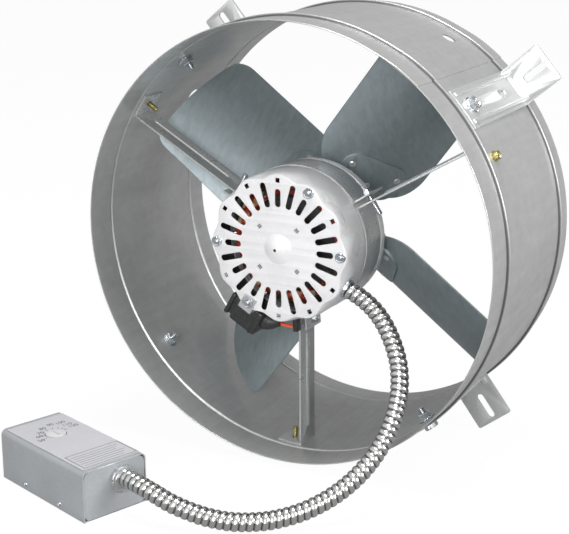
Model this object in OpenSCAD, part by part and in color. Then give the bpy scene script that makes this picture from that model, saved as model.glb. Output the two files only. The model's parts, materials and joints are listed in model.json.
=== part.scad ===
// Attic gable fan: a rolled steel drum with four wall brackets, a vented motor held by
// three strip arms, a four blade fan, and a thermostat box on a flexible metal conduit.
// Millimetres. The fan axis is Y: the inlet with the motor faces -Y and the outlet rim
// is at y = 0. Z is up, and the drum stands on its beads beside the thermostat box.

/* [Drum] */
// Diameter over the fan's blade tips
fan_d = 355.6; // [340:0.1:372]
// Running gap between a blade tip and the drum wall
tip_gap = 8.7; // [5:0.1:15]
// Depth of the drum along the fan axis
drum_depth = 185; // [180:1:200]
// Thickness of the rolled drum sheet
drum_wall = 1; // [0.8:0.1:1.5]
// Width of each rolled bead
bead_w = 7; // [6:0.1:9]
// How far each bead stands out of the wall
bead_rise = 2.5; // [2:0.1:3.2]
// Middle of the inlet bead, back from the inlet rim
inlet_bead_inset = 31; // [24:0.5:34]
// Middle of the outlet bead, in from the outlet rim
outlet_bead_inset = 23; // [12:0.5:24]
// Width of the seam's lap round the wall
lap_w = 19; // [10:1:24]
// Diameter of each wiring hole in the wall
wiring_hole_d = 12.5; // [8:0.1:16]

/* [Wall brackets] */
// Width of a wall bracket
bracket_w = 36; // [30:1:44]
// Thickness of a wall bracket
bracket_t = 2; // [1.5:0.1:3]
// How far a bracket's flange stands out of the drum
flange_reach = 40.5; // [36:0.5:55]
// Back of the flanges, in from the outlet rim
flange_inset = 27.5; // [27.5:0.5:36]
// Gap between the end of a bracket's leg and the inlet bead
leg_gap = 3; // [2:0.5:20]
// Width of the slot in a flange
slot_w = 6.5; // [5:0.1:9]
// Length of the slot in a flange
slot_len = 24; // [18:0.5:26]
// Diameter of the bracket bolts
bolt_d = 6; // [5:0.1:8]
// Width across the flats of a bracket bolt's head
bolt_flats = 11; // [9:0.1:13]

/* [Motor arms] */
// Width of an arm's strip
arm_w = 26; // [20:0.5:26]
// Thickness of an arm's strip
arm_t = 1.6; // [1.2:0.1:2.5]
// Middle of the arms, back from the motor's face
arm_inset = 49; // [48:0.5:51]
// Length of the ear at the end of a clamp band
ear_len = 18; // [15:0.5:24]
// Diameter of the clamp screws
clamp_screw_d = 4.8; // [4:0.1:6]
// Length of a clamp screw under its head
clamp_screw_len = 20; // [16:1:30]
// Diameter of the screws at the arms' outer ends
arm_screw_d = 4.8; // [4:0.1:6]

/* [Motor] */
// Outside diameter of the motor's end shields
motor_d = 127; // [120:0.5:130]
// Thickness of the end shields
shield_t = 1.2; // [0.9:0.1:1.6]
// Depth of the white inlet shield
shield_depth = 33; // [30:0.5:34]
// Corner radius of the end shields
shield_round = 4; // [2:0.1:4.5]
// Overall length of the motor case
motor_len = 75; // [74:0.5:76]
// Thickness of the motor shell
shell_t = 1.5; // [1:0.1:2]
// Length of the stator's laminations
core_len = 30; // [24:1:31]
// Diameter of the rotor
rotor_d = 75; // [60:0.5:80]
// Radial air gap round the rotor
air_gap = 0.5; // [0.3:0.05:1]
// Diameter of the motor shaft
shaft_d = 12.7; // [10:0.1:14]
// Radial running clearance of the shaft in its bearings
shaft_gap = 0.1; // [0.05:0.01:0.2]
// Outside diameter of the sleeve bearings
bearing_d = 19; // [18:0.5:22]
// Diameter of the motor's through bolts
through_bolt_d = 4; // [3:0.1:4.5]
// Width of a cooling slot in the end shields
vent_w = 5.2; // [3:0.1:5.6]

/* [Blades] */
// Width of a blade along its chord
blade_chord = 113; // [100:1:116]
// Pitch of the blades from the plane they turn in
blade_pitch = 46.5; // [42:0.5:47]
// Rise of a blade's arc above its chord
blade_camber = 9; // [6:0.5:11]
// Thickness of a blade
blade_t = 1.2; // [0.9:0.1:1.6]
// Middle of the blades, behind the motor's back
blade_gap = 39; // [38:0.5:42]
// Distance of a blade's chord centre ahead of its hub arm
blade_lead = 7.5; // [5:0.5:10]
// Distance of a blade's root edge from the axis
blade_root = 38; // [36:0.5:44]
// Thickness of the hub spider
spider_t = 2; // [1.5:0.1:3]
// Reach of a spider arm from the axis
spider_reach = 72; // [66:0.5:80]
// Width of a spider arm along the blade's chord
spider_w = 66; // [56:1:72]
// Diameter of the rivets
rivet_d = 4.4; // [3.5:0.1:5]
// Diameter of the hub collar
collar_d = 26; // [22:0.5:30]

/* [Capacitor] */
// Width of the capacitor round the motor
cap_w = 34; // [30:0.5:38]
// Thickness of the capacitor away from the motor
cap_t = 22; // [18:0.5:26]
// Length of the capacitor along the axis
cap_len = 40; // [30:0.5:44]

/* [Thermostat box] */
// Length of the thermostat box
box_len = 120; // [110:1:130]
// Width of the thermostat box
box_w = 60; // [54:1:70]
// Height of the thermostat box
box_h = 42.5; // [38:0.5:50]
// Thickness of the box's sheet
box_t = 1; // [0.8:0.1:1.4]
// Diameter of the temperature dial
dial_d = 17; // [14:0.1:20]

/* [Conduit] */
// Outside diameter over the conduit's ribs
conduit_d = 15; // [14:0.1:15.4]
// Inside diameter of the conduit
conduit_bore = 9.6; // [8:0.1:10.4]
// Number of ribs along the conduit
conduit_ribs = 70; // [50:2:110]

/* [Hidden] */

galvanised = "#b4b8b8";
zinc = "#c8ccd2";
yellow_zinc = "#c8b878";
white_enamel = "#f0f0ee";
blade_steel = "#808a8e";
grey_paint = "#9aa0a4";
black_plastic = "#202022";
copper_red = "#8c3a28";
bronze = "#a8844c";
dark_steel = "#5c5e60";

$fn = 96;
// Fineness of the large round walls
wall_fn = 240;
// How far a cutter runs past the face it cuts
overrun = 1;
// Gap between a bolt or screw and the hole it passes
hole_gap = 0.2;
// Gap left between two bodies that turn against each other
run_gap = 0.5;

drum_bore_r = fan_d / 2 + tip_gap;
drum_r = drum_bore_r + drum_wall;
fan_r = fan_d / 2;
bead_round = bead_w / 2;
bead_centre_r = drum_r + bead_rise - bead_round;
bead_places = [outlet_bead_inset, drum_depth - inlet_bead_inset];
floor_z = -(drum_r + bead_rise);
// Angle on the drum of the lap's free edge, seen from the inlet
lap_angle = 49.5;
lap_span = lap_w / drum_r * 180 / PI;
lap_rise = drum_wall * 0.8;

bracket_angles = [40, 130, 219, 307];
leg_half_angle = asin(bracket_w / 2 / drum_r);
flange_out_r = drum_r + flange_reach;
flange_len = flange_reach + 2 * bead_rise;
leg_end = drum_depth - inlet_bead_inset - bead_w / 2 - leg_gap;
leg_len = leg_end - flange_inset;
bracket_bolt_inset = 17.5;
bracket_bolt_place = leg_end - bracket_bolt_inset;
slot_end_inset = 3.5;
slot_out_r = flange_out_r - slot_end_inset;
rib_rise = 1.2;
rib_round = 2.6;
keyhole_d = 8;
keyhole_slot_w = 4;
keyhole_place = leg_end - leg_len * 0.7;
gusset_w = 4;
bolt_r = bolt_d / 2;
bolt_head_h = bolt_d * 0.75;
bolt_flange_r = bolt_flats * 0.68;
bolt_flange_t = bolt_d * 0.2;
bolt_tail = bolt_d * 1.9;
nut_h = bolt_d * 0.8;
nut_seat_r = sqrt(pow(drum_bore_r, 2) - pow(bolt_flange_r, 2));
wiring_hole_angles = [60.5, 148.3];
// Middles of the two wiring holes, in from the outlet rim
wiring_hole_places = [49, 57];

motor_r = motor_d / 2;
shell_gap = 0.1;
shell_r = motor_r - shield_t - shell_gap;
shell_bore_r = shell_r - shell_t;
motor_face = drum_depth;
motor_back = motor_face - motor_len;
back_shield_depth = 9;
shell_start = motor_back + back_shield_depth / 2;
skirt_lap = 4;
shell_end = motor_face - shield_depth + skirt_lap;
core_inset = 35;
core_end = motor_face - core_inset;
core_start = core_end - core_len;
stator_r = shell_bore_r - shell_gap;
stator_bore_r = rotor_d / 2 + air_gap;
rotor_r = rotor_d / 2;
shaft_r = shaft_d / 2;
bearing_r = bearing_d / 2;
boss_t = 2;
boss_r = bearing_r + boss_t;
inlet_bearing_len = 20;
inlet_bearing_gap = 8;
inlet_bearing_start = core_end + inlet_bearing_gap;
outlet_bearing_len = 12;
outlet_bearing_out = 7.5;
outlet_bearing_start = motor_back - outlet_bearing_out;
shaft_past = 2;
shaft_end = inlet_bearing_start + inlet_bearing_len + shaft_past;
through_bolt_inset = 5.8;
through_bolt_circle_r = motor_r - through_bolt_inset;
through_bolt_angles = [0, 60, 180, 240];
through_bolt_r = through_bolt_d / 2;
through_nut_flats = 8;
through_nut_h = 3.2;
square_hole_angles = [30, 90, 120, 150, 210, 270, 300, 330];
square_hole = 3.6;
vent_in_r = 35.2;
vent_long = 21.6;
vent_short = 15.3;
vent_count = 12;
dome_r = 13;
dome_rise = 6;
dome_ball_r = (pow(dome_r, 2) + pow(dome_rise, 2)) / (2 * dome_rise);
dimple = 3;
dimple_circle_r = 24.5;
dimple_deep = 0.5;
winding_inset = 3;
winding_in_r = stator_bore_r + winding_inset;
winding_gap = 2;
winding_out_r = through_bolt_circle_r - through_bolt_r - winding_gap;
winding_front = 15;
winding_back = 7;
winding_round = 3;
stator_slots = 18;
stator_slot_w = 3;
stator_slot_deep = 11;
cage_in_r = rotor_r * 0.6;
cage_rise = 4.5;
collar_ring_t = 3;
collar_ring_r = shaft_r + collar_ring_t;

arm_angles = [30, 150, 270];
arm_place = motor_face - arm_inset;
band_bore_r = shell_r + shell_gap;
band_out_r = band_bore_r + arm_t;
ear_gap_angle = 4.6;
band_span = 120 - ear_gap_angle;
arm_low = arm_place - arm_w / 2;
ear_out_r = band_bore_r + ear_len;
clamp_screw_r = clamp_screw_d / 2;
clamp_screw_place_r = band_out_r + (ear_len - arm_t) * 0.52;
tab_span = 6.5;
tab_screw_angle = 3.4;
arm_rib_round = 4;
arm_rib_rise = 1.5;
arm_rib_start = 8;
arm_rib_in_r = ear_out_r + arm_rib_start;
arm_rib_stop = 16;
arm_rib_out_r = drum_bore_r - arm_rib_stop;
arm_screw_r = arm_screw_d / 2;
screw_tail = 9;
screw_head_share = 0.62;

bend_r = (pow(blade_chord / 2, 2) + pow(blade_camber, 2)) / (2 * blade_camber);
blade_angles = [53, 143, 233, 323];
blade_place = motor_back - blade_gap;
blade_tip_round = 18;
root_round_near = 40;
root_round_far = 28;
spider_shift = -3;
spider_root = 34;
spider_round = 24;
spider_disc_r = 25;
// Where the blades' middle line meets the hub, worked out from the pitch and the camber
spider_place = blade_place + blade_camber * cos(blade_pitch) + spider_t;
rivet_r = rivet_d / 2;
rivet_head_r = rivet_r * 1.8;
rivet_head_h = rivet_r * 0.6;
rivet_places = [[59, 21], [59, -27], [45, -3]];
// How far a flat rivet head stands off the hollow side of a blade at its middle
rivet_seat = pow(rivet_head_r, 2) / (2 * (bend_r - blade_t));
collar_r = collar_d / 2;
collar_len = 17;
shaft_tail = 5.2;
shaft_start = spider_place - spider_t / 2 - collar_len - shaft_tail;
set_screw_r = 2.5;
set_screw_len = 9;

cap_angle = 240;
cap_gap = 1.6;
cap_in_r = band_out_r + cap_gap;
cap_inset = 10;
cap_front = motor_face - cap_inset;
cap_round = 2.5;
cap_shift = -3;
tab_w = 13;
tab_t = 1.2;
tab_gap = 0.1;
tab_grip = 8;
boot_in = 9;
boot_r = 8.5;
boot_tip_r = 5.3;
boot_tip_rise = 6.5;
boot_tip_angle = 22;
lead_r = 1.5;
lead_gap = 0.2;
lead_inset = 14;
lead_place = cap_front - lead_inset;
// How far the two leads run outside the motor, and where they leave the boot and end
lead_rises = [2.8, 10.4];
lead_start_angle = 260.5;
lead_end_angle = 273.5;
entry_t = 4.4;
entry_w = 8;
entry_rise = 13.5;
entry_gap = 0.1;
entry_neck_r = 3;
entry_neck_in = 1.2;

// The conduit's middle line, chosen by hand: out of the motor, down past the inlet rim,
// along the floor and up into the end of the thermostat box
conduit_route = [
    [59, -173, -30], [73.5, -173, -37.5], [86, -174.5, -47], [97, -178, -59.5],
    [107, -184.5, -74.5], [112.5, -190.5, -87], [116, -198.5, -100], [117, -208, -114],
    [115, -217.5, -128], [111.5, -229, -140], [106, -241, -151], [99, -252, -160],
    [90, -263.5, -168], [80, -275, -174], [69, -285, -178.5], [55.5, -296, -181.5],
    [43, -305.5, -182], [28.5, -313.5, -181.5], [13.5, -319, -179.5], [-0.5, -322.5, -176.5],
    [-18, -326, -171], [-35.5, -325.5, -165.5], [-52, -322, -163], [-67.5, -316.5, -163]
];
conduit_sides = 8;
conduit_r = conduit_d / 2;
conduit_groove = 1.2;
conduit_root_r = conduit_r - conduit_groove;
conduit_bore_r = conduit_bore / 2;
// A direction that the route never runs along, from which the rings are turned
ring_ref = [0.5, -0.85, 0.1];
motor_exit_angle = -27;
motor_exit_inset = 12;
motor_exit_place = motor_face - motor_exit_inset;
motor_exit_r = 66.05;
ferrule_t = 1.4;
ferrule_r = conduit_r + ferrule_t;
connector_wall = 0.5;
connector_r = conduit_r + connector_wall;
connector_bore_r = 5.2;
connector_ring_t = 3;
connector_ring_r = 11.2;

box_x = -129.9;
box_y = -300.8;
box_turn = -20;
box_round = 2.5;
box_fit = 0.2;
box_exit_y = 6.6;
box_exit_z = 27;
box_exit_len = 3.9;
nipple_r = 7.8;
nipple_gap = 0.2;
locknut_r = 11;
locknut_t = 3;
locknut_teeth = 8;
locknut_tooth = 1;
cover_screw_x = 25;
cover_screw_z = 5;
cover_screw_r = 1.6;
cover_screw_head_r = 3;
cover_screw_head_h = 1.6;
cover_screw_len = 6;
label_t = 0.3;
label_margin = 3;
label_end_margin = 4.5;
dial_r = dial_d / 2;
dial_gap = 0.6;
dial_x = -20.5;
dial_y = -2;
dial_t = 3.6;
dial_sink = 0.8;
stem_r = 3;
stem_len = 12;
bush_r = 5.5;
bush_rise = 4;
switch_len = 34;
switch_w = 15;
switch_h = 18;
dial_low = box_h - dial_sink - dial_t;
bush_top = dial_low - run_gap;
switch_top = bush_top - bush_rise;
switch_low = switch_top - switch_h;
bracket_plate_t = 1;
slug_d = 22;
slug_t = box_t;
terminal_r = 3;
terminal_share = 0.6;
terminal_h = 3;
bimetal_len = 30;
bimetal_w = 8;
bimetal_t = 0.8;
lead_wire_r = 1.3;

function arc(c, r, a0, a1, steps) = [
    for (i = [0 : steps])
        let (a = a0 + (a1 - a0) * i / steps)
            [c[0] + r * cos(a), c[1] + r * sin(a)]
];

// The fan's own frame: local z runs from the outlet rim to the inlet, and local x and y
// are the world's x and z
module axial() rotate([90, 0, 0]) children();

// Local z points out along a radius of the drum
module outward(angle, place, r)
    axial() rotate([0, 0, angle]) translate([r, 0, place]) rotate([0, 90, 0]) children();

module tube(outer, inner, length, fineness = $fn)
    difference() {
        cylinder(r = outer, h = length, $fn = fineness);
        translate([0, 0, -overrun])
            cylinder(r = inner, h = length + 2 * overrun, $fn = fineness);
    }

module hex_prism(flats, height)
    cylinder(r = flats / sqrt(3), h = height, $fn = 6);

module rounded_rect(size, r) {
    square([size[0] - 2 * r, size[1]], center = true);
    square([size[0], size[1] - 2 * r], center = true);
    for (sx = [-1, 1], sy = [-1, 1])
        translate([sx * (size[0] / 2 - r), sy * (size[1] / 2 - r)]) circle(r = r);
}

// A slot with round ends that starts at the local origin and runs along x
module slot_2d(length, width) {
    translate([width / 2, -width / 2]) square([length - width, width]);
    translate([width / 2, 0]) circle(d = width);
    translate([length - width / 2, 0]) circle(d = width);
}

// The drum

module drum_shell()
    color(galvanised) axial() difference() {
        union() {
            rotate_extrude($fn = wall_fn) drum_section();
            rotate([0, 0, lap_angle]) rotate_extrude(angle = lap_span, $fn = wall_fn)
                translate([lap_rise, 0]) intersection() {
                    drum_section();
                    translate([0, drum_wall]) square([2 * drum_r, drum_depth - 2 * drum_wall]);
                }
        }
        for (angle = bracket_angles)
            wall_hole(angle, bracket_bolt_place, bolt_r + hole_gap);
        for (angle = arm_angles)
            wall_hole(angle - tab_screw_angle, arm_place, arm_screw_r + hole_gap);
        for (i = [0, 1])
            wall_hole(wiring_hole_angles[i], wiring_hole_places[i], wiring_hole_d / 2);
    }

// The rolled sheet in section, with its beads hollow on the inside
module drum_section()
    difference() {
        union() {
            translate([drum_bore_r, 0]) square([drum_wall, drum_depth]);
            for (place = bead_places)
                translate([bead_centre_r, place]) circle(r = bead_round, $fn = 32);
        }
        for (place = bead_places)
            translate([bead_centre_r, place]) circle(r = bead_round - drum_wall, $fn = 32);
        translate([0, -overrun]) square([drum_bore_r, drum_depth + 2 * overrun]);
    }

module wall_hole(angle, place, r)
    rotate([0, 0, angle]) translate([drum_bore_r - 4 * drum_wall, 0, place])
        rotate([0, 90, 0]) cylinder(r = r, h = 8 * drum_wall + bracket_t);

// The wall brackets

module wall_bracket(angle)
    color(galvanised) axial() rotate([0, 0, angle]) difference() {
        union() {
            rotate([0, 0, -leg_half_angle])
                rotate_extrude(angle = 2 * leg_half_angle, $fn = wall_fn)
                    translate([drum_r, flange_inset]) square([bracket_t, leg_len]);
            difference() {
                union() {
                    translate([flange_out_r - flange_len / 2, 0, flange_inset])
                        linear_extrude(height = bracket_t)
                            rounded_rect([flange_len, bracket_w], bracket_t);
                    for (side = [-1, 1]) {
                        bracket_rib(side);
                        bracket_gusset(side);
                    }
                }
                translate([0, 0, -overrun])
                    cylinder(r = drum_r + bracket_t / 2, h = drum_depth, $fn = wall_fn);
            }
        }
        translate([slot_out_r - slot_len, 0, flange_inset - overrun])
            linear_extrude(height = bracket_t + 2 * overrun) slot_2d(slot_len, slot_w);
        translate([drum_r - overrun, 0, bracket_bolt_place]) rotate([0, 90, 0])
            cylinder(r = bolt_r + hole_gap, h = bracket_t + 2 * overrun);
        translate([drum_r - overrun, 0, keyhole_place]) rotate([0, 90, 0])
            linear_extrude(height = bracket_t + 2 * overrun) {
                circle(d = keyhole_d);
                translate([0, -keyhole_slot_w / 2])
                    square([keyhole_d * 1.4, keyhole_slot_w]);
            }
    }

module bracket_rib(side) {
    rib_len = leg_len - 4 * rib_round;
    rib_r = drum_r + bracket_t + rib_rise - rib_round;
    rotate([0, 0, side * leg_half_angle * 0.72])
        translate([rib_r, 0, flange_inset + 2 * rib_round]) {
            cylinder(r = rib_round, h = rib_len, $fn = 32);
            for (z = [0, rib_len]) translate([0, 0, z]) sphere(r = rib_round, $fn = 32);
        }
}

module bracket_gusset(side) {
    size = 4 * bracket_t;
    translate([drum_r + bracket_t / 2, side * bracket_w * 0.36 + gusset_w / 2,
               flange_inset + bracket_t / 2])
        rotate([90, 0, 0]) linear_extrude(height = gusset_w)
            polygon([[0, 0], [size, 0], [0, size]]);
}

module wall_bracket_1() wall_bracket(bracket_angles[0]);
module wall_bracket_2() wall_bracket(bracket_angles[1]);
module wall_bracket_3() wall_bracket(bracket_angles[2]);
module wall_bracket_4() wall_bracket(bracket_angles[3]);

// Washer faced bolts through the brackets and the drum, with their nuts inside
module bracket_bolts()
    color(zinc) for (angle = bracket_angles)
        outward(angle, bracket_bolt_place, drum_r + bracket_t) {
            shank = bracket_t + drum_wall + bolt_tail;
            translate([0, 0, -shank]) cylinder(r = bolt_r, h = shank);
            cylinder(r = bolt_flange_r, h = bolt_flange_t);
            translate([0, 0, bolt_flange_t]) hex_prism(bolt_flats, bolt_head_h);
        }

module bracket_nuts()
    color(zinc) for (angle = bracket_angles)
        outward(angle, bracket_bolt_place, nut_seat_r) rotate([180, 0, 0]) difference() {
            union() {
                cylinder(r = bolt_flange_r, h = bolt_flange_t);
                translate([0, 0, bolt_flange_t]) hex_prism(bolt_flats, nut_h);
            }
            translate([0, 0, -overrun])
                cylinder(r = bolt_r, h = nut_h + bolt_flange_t + 2 * overrun);
        }

// The arms that hold the motor, each with a third of the clamp band

module clamp_line(angle)
    axial() rotate([0, 0, angle + ear_gap_angle])
        translate([clamp_screw_place_r, arm_t, arm_place]) rotate([-90, 0, 0]) children();

module motor_arm(angle)
    color(galvanised) difference() {
        axial() rotate([0, 0, angle]) difference() {
            union() {
                translate([0, 0, arm_low]) linear_extrude(height = arm_w) arm_section();
                arm_rib(arm_rib_round, 0);
            }
            arm_rib(arm_rib_round - arm_t, -overrun);
            rotate([0, 0, -tab_screw_angle])
                translate([drum_bore_r - 2 * arm_t, 0, arm_place]) rotate([0, 90, 0])
                    cylinder(r = arm_screw_r + hole_gap, h = 4 * arm_t);
        }
        for (at = [angle, angle - 120])
            clamp_line(at) translate([0, 0, -ear_len])
                cylinder(r = clamp_screw_r + hole_gap, h = ear_len + 2 * arm_t);
    }

// The bent strip seen along the axis: its third of the band, the ear at the band's end,
// the straight arm, and the tab that lies against the drum
module arm_section()
    intersection() {
        difference() {
            union() {
                sector(half_sheet(band_bore_r) - band_span, half_sheet(band_bore_r))
                    circle(r = band_out_r, $fn = wall_fn);
                square([drum_r, arm_t]);
                rotate([0, 0, -band_span]) square([ear_out_r, arm_t]);
                sector(-tab_span, half_sheet(drum_bore_r)) difference() {
                    circle(r = drum_r, $fn = wall_fn);
                    circle(r = drum_bore_r - arm_t, $fn = wall_fn);
                }
            }
            circle(r = band_bore_r, $fn = wall_fn);
        }
        circle(r = drum_bore_r, $fn = wall_fn);
    }

// The angle that half the sheet's thickness takes at a radius
function half_sheet(r) = asin(arm_t / 2 / r);

module sector(from, to)
    intersection() {
        children();
        polygon(concat([[0, 0]], arc([0, 0], 2 * drum_r, from, to, 4)));
    }

// The long pressed rib of an arm: its outside, and with a smaller radius its hollow
module arm_rib(r, extra) {
    length = arm_rib_out_r - arm_rib_in_r;
    translate([arm_rib_in_r, arm_t + arm_rib_rise - arm_rib_round, arm_place])
        rotate([0, 90, 0]) intersection() {
            union() {
                cylinder(r = r, h = length, $fn = 32);
                for (z = [0, length]) translate([0, 0, z]) sphere(r = r, $fn = 32);
            }
            translate([-2 * r, arm_rib_round - arm_rib_rise - arm_t + extra, -2 * r])
                cube([4 * r, 4 * r, length + 4 * r]);
        }
}

module motor_arm_1() motor_arm(arm_angles[0]);
module motor_arm_2() motor_arm(arm_angles[1]);
module motor_arm_3() motor_arm(arm_angles[2]);

module screw(r, length, flats) {
    head_h = flats * 0.45;
    translate([0, 0, -length]) cylinder(r = r, h = length, $fn = 32);
    cylinder(r = flats * screw_head_share, h = head_h * 0.3, $fn = 48);
    translate([0, 0, head_h * 0.3]) hex_prism(flats, head_h);
}

module clamp_screws()
    color(yellow_zinc) for (angle = arm_angles)
        clamp_line(angle) screw(clamp_screw_r, clamp_screw_len, clamp_screw_d * 1.65);

module arm_end_screws()
    color(yellow_zinc) for (angle = arm_angles)
        outward(angle - tab_screw_angle, arm_place, drum_r)
            screw(arm_screw_r, drum_wall + arm_t + screw_tail, arm_screw_d * 1.65);

// The motor

// A pressed end shield with its flat face at z = 0 and its skirt below
module end_cup(depth) {
    corner = [motor_r - shield_round, -shield_round];
    rotate_extrude($fn = wall_fn) polygon(concat(
        [[0, 0]],
        arc(corner, shield_round, 90, 0, 6),
        [[motor_r, -depth], [motor_r - shield_t, -depth]],
        arc(corner, shield_round - shield_t, 0, 90, 6),
        [[0, -shield_t]]));
}

module shield_vents() {
    deep = 3 * shield_t;
    translate([0, 0, -deep / 2]) linear_extrude(height = deep)
        for (i = [0 : vent_count - 1]) {
            step = 360 / vent_count;
            rotate([0, 0, i * step])
                translate([vent_in_r, 0]) slot_2d(vent_short, vent_w);
            rotate([0, 0, (i + 0.5) * step])
                translate([vent_in_r, 0]) slot_2d(vent_long, vent_w);
        }
}

module through_bolt_holes(depth)
    for (angle = through_bolt_angles)
        rotate([0, 0, angle]) translate([through_bolt_circle_r, 0, -depth / 2])
            cylinder(r = through_bolt_r + hole_gap, h = depth, $fn = 32);

module inlet_end_shield()
    color(white_enamel) axial() difference() {
        translate([0, 0, motor_face]) difference() {
            union() {
                end_cup(shield_depth);
                intersection() {
                    translate([0, 0, dome_rise - dome_ball_r])
                        sphere(r = dome_ball_r, $fn = wall_fn);
                    translate([0, 0, -shield_t / 2])
                        cylinder(r = dome_r, h = dome_rise + shield_t);
                }
                translate([0, 0, inlet_bearing_start - motor_face])
                    cylinder(r = boss_r, h = motor_face - inlet_bearing_start - shield_t / 2);
            }
            shield_vents();
            through_bolt_holes(4 * shield_t);
            for (angle = square_hole_angles)
                rotate([0, 0, angle]) translate([through_bolt_circle_r, 0, 0])
                    cube([square_hole, square_hole, 4 * shield_t], center = true);
            for (i = [0 : 3])
                rotate([0, 0, 45 + 90 * i])
                    translate([dimple_circle_r, 0, 0])
                        cube([dimple, dimple, 2 * dimple_deep], center = true);
            translate([0, 0, inlet_bearing_start - motor_face - overrun])
                cylinder(r = bearing_r, h = motor_face - inlet_bearing_start + overrun - shield_t);
        }
        rotate([0, 0, motor_exit_angle]) translate([motor_r - 4 * shield_t, 0, motor_exit_place])
            rotate([0, 90, 0]) cylinder(r = connector_bore_r, h = 8 * shield_t);
        lead_entry_line() translate([0, 0, motor_r - 4 * shield_t])
            cylinder(r = entry_neck_r + hole_gap, h = 8 * shield_t);
    }

// Local z points out of the motor's side where the leads go in
module lead_entry_line()
    rotate([0, 0, lead_end_angle]) translate([0, 0, lead_place]) rotate([0, 90, 0])
        children();

module motor_shell()
    color(galvanised) axial() translate([0, 0, shell_start])
        tube(shell_r, shell_bore_r, shell_end - shell_start, wall_fn);

module outlet_end_shield()
    color(galvanised) axial() translate([0, 0, motor_back]) difference() {
        union() {
            mirror([0, 0, 1]) end_cup(back_shield_depth);
            translate([0, 0, outlet_bearing_start - motor_back])
                cylinder(r = boss_r, h = outlet_bearing_len);
        }
        shield_vents();
        through_bolt_holes(4 * shield_t);
        translate([0, 0, outlet_bearing_start - motor_back - overrun])
            cylinder(r = bearing_r, h = outlet_bearing_len + 2 * overrun);
    }

module stator_slot_cutters(w, deep)
    for (i = [0 : stator_slots - 1])
        rotate([0, 0, (i + 0.5) * 360 / stator_slots])
            translate([stator_bore_r - overrun, -w / 2, core_start - overrun])
                cube([deep + overrun, w, core_len + 2 * overrun]);

module stator_core()
    color(dark_steel) axial() difference() {
        translate([0, 0, core_start]) tube(stator_r, stator_bore_r, core_len, wall_fn);
        stator_slot_cutters(stator_slot_w, stator_slot_deep);
        translate([0, 0, core_start + core_len / 2]) through_bolt_holes(core_len * 1.2);
    }

module winding_ring(place, rise) {
    w = winding_out_r - winding_in_r;
    translate([0, 0, place]) rotate_extrude($fn = 120)
        translate([winding_in_r + w / 2, rise / 2])
            rounded_rect([w, rise], winding_round);
}

module stator_windings()
    color(copper_red) axial() {
        winding_ring(core_end, winding_front);
        winding_ring(core_start - winding_back, winding_back);
        for (i = [0 : stator_slots - 1])
            rotate([0, 0, (i + 0.5) * 360 / stator_slots])
                translate([winding_in_r, -(stator_slot_w / 2 - shell_gap),
                           core_start - winding_back / 2])
                    cube([stator_bore_r + stator_slot_deep - winding_in_r - shell_gap,
                          stator_slot_w - 2 * shell_gap,
                          core_len + winding_back]);
    }

module sleeve_bearing(start, length)
    color(bronze) axial() translate([0, 0, start])
        tube(bearing_r, shaft_r + shaft_gap, length);

module inlet_bearing() sleeve_bearing(inlet_bearing_start, inlet_bearing_len);
module outlet_bearing() sleeve_bearing(outlet_bearing_start, outlet_bearing_len);

module through_bolts()
    color(zinc) axial() for (angle = through_bolt_angles)
        rotate([0, 0, angle]) translate([through_bolt_circle_r, 0, motor_back]) {
            cylinder(r = through_bolt_r, h = motor_len + through_nut_h * 1.5, $fn = 32);
            translate([0, 0, -through_bolt_d * 0.6])
                hex_prism(through_nut_flats, through_bolt_d * 0.6);
        }

module through_bolt_nuts()
    color(zinc) axial() for (angle = through_bolt_angles)
        rotate([0, 0, angle]) translate([through_bolt_circle_r, 0, motor_face])
            difference() {
                hex_prism(through_nut_flats, through_nut_h);
                translate([0, 0, -overrun])
                    cylinder(r = through_bolt_r, h = through_nut_h + 2 * overrun, $fn = 32);
            }

// The parts that turn inside the motor

module rotor_core()
    color(dark_steel) axial() translate([0, 0, core_start])
        tube(rotor_r, shaft_r, core_len, wall_fn);

module rotor_cage()
    color(zinc) axial() for (place = [core_start - cage_rise, core_end])
        translate([0, 0, place]) tube(rotor_r - run_gap, cage_in_r, cage_rise);

module motor_shaft()
    color(zinc) axial() translate([0, 0, shaft_start])
        cylinder(r = shaft_r, h = shaft_end - shaft_start);

module thrust_collars()
    color(bronze) axial() {
        back = outlet_bearing_start + outlet_bearing_len + run_gap;
        translate([0, 0, back]) tube(collar_ring_r, shaft_r, core_start - back);
        translate([0, 0, core_end])
            tube(collar_ring_r, shaft_r, inlet_bearing_start - run_gap - core_end);
    }

// The run capacitor beside the motor

module cap_frame()
    axial() rotate([0, 0, cap_angle]) children();

module run_capacitor()
    color(black_plastic) cap_frame()
        translate([cap_in_r + cap_t / 2, cap_shift, cap_front - cap_len])
            linear_extrude(height = cap_len) rounded_rect([cap_t, cap_w], cap_round);

// A square plate under a through bolt's nut, bent down inside the capacitor
module capacitor_tab()
    color(galvanised) cap_frame() difference() {
        out_r = cap_in_r - tab_gap;
        start_r = through_bolt_circle_r - tab_w / 2;
        union() {
            translate([start_r, -tab_w / 2, motor_face]) cube([out_r - start_r, tab_w, tab_t]);
            translate([out_r - tab_t, -tab_w / 2, cap_front - tab_grip])
                cube([tab_t, tab_w, motor_face - cap_front + tab_grip + tab_t]);
        }
        translate([through_bolt_circle_r, 0, motor_face - overrun])
            hex_clearance();
    }

module hex_clearance()
    cylinder(r = through_nut_flats / sqrt(3) + hole_gap, h = tab_t + 2 * overrun);

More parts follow.
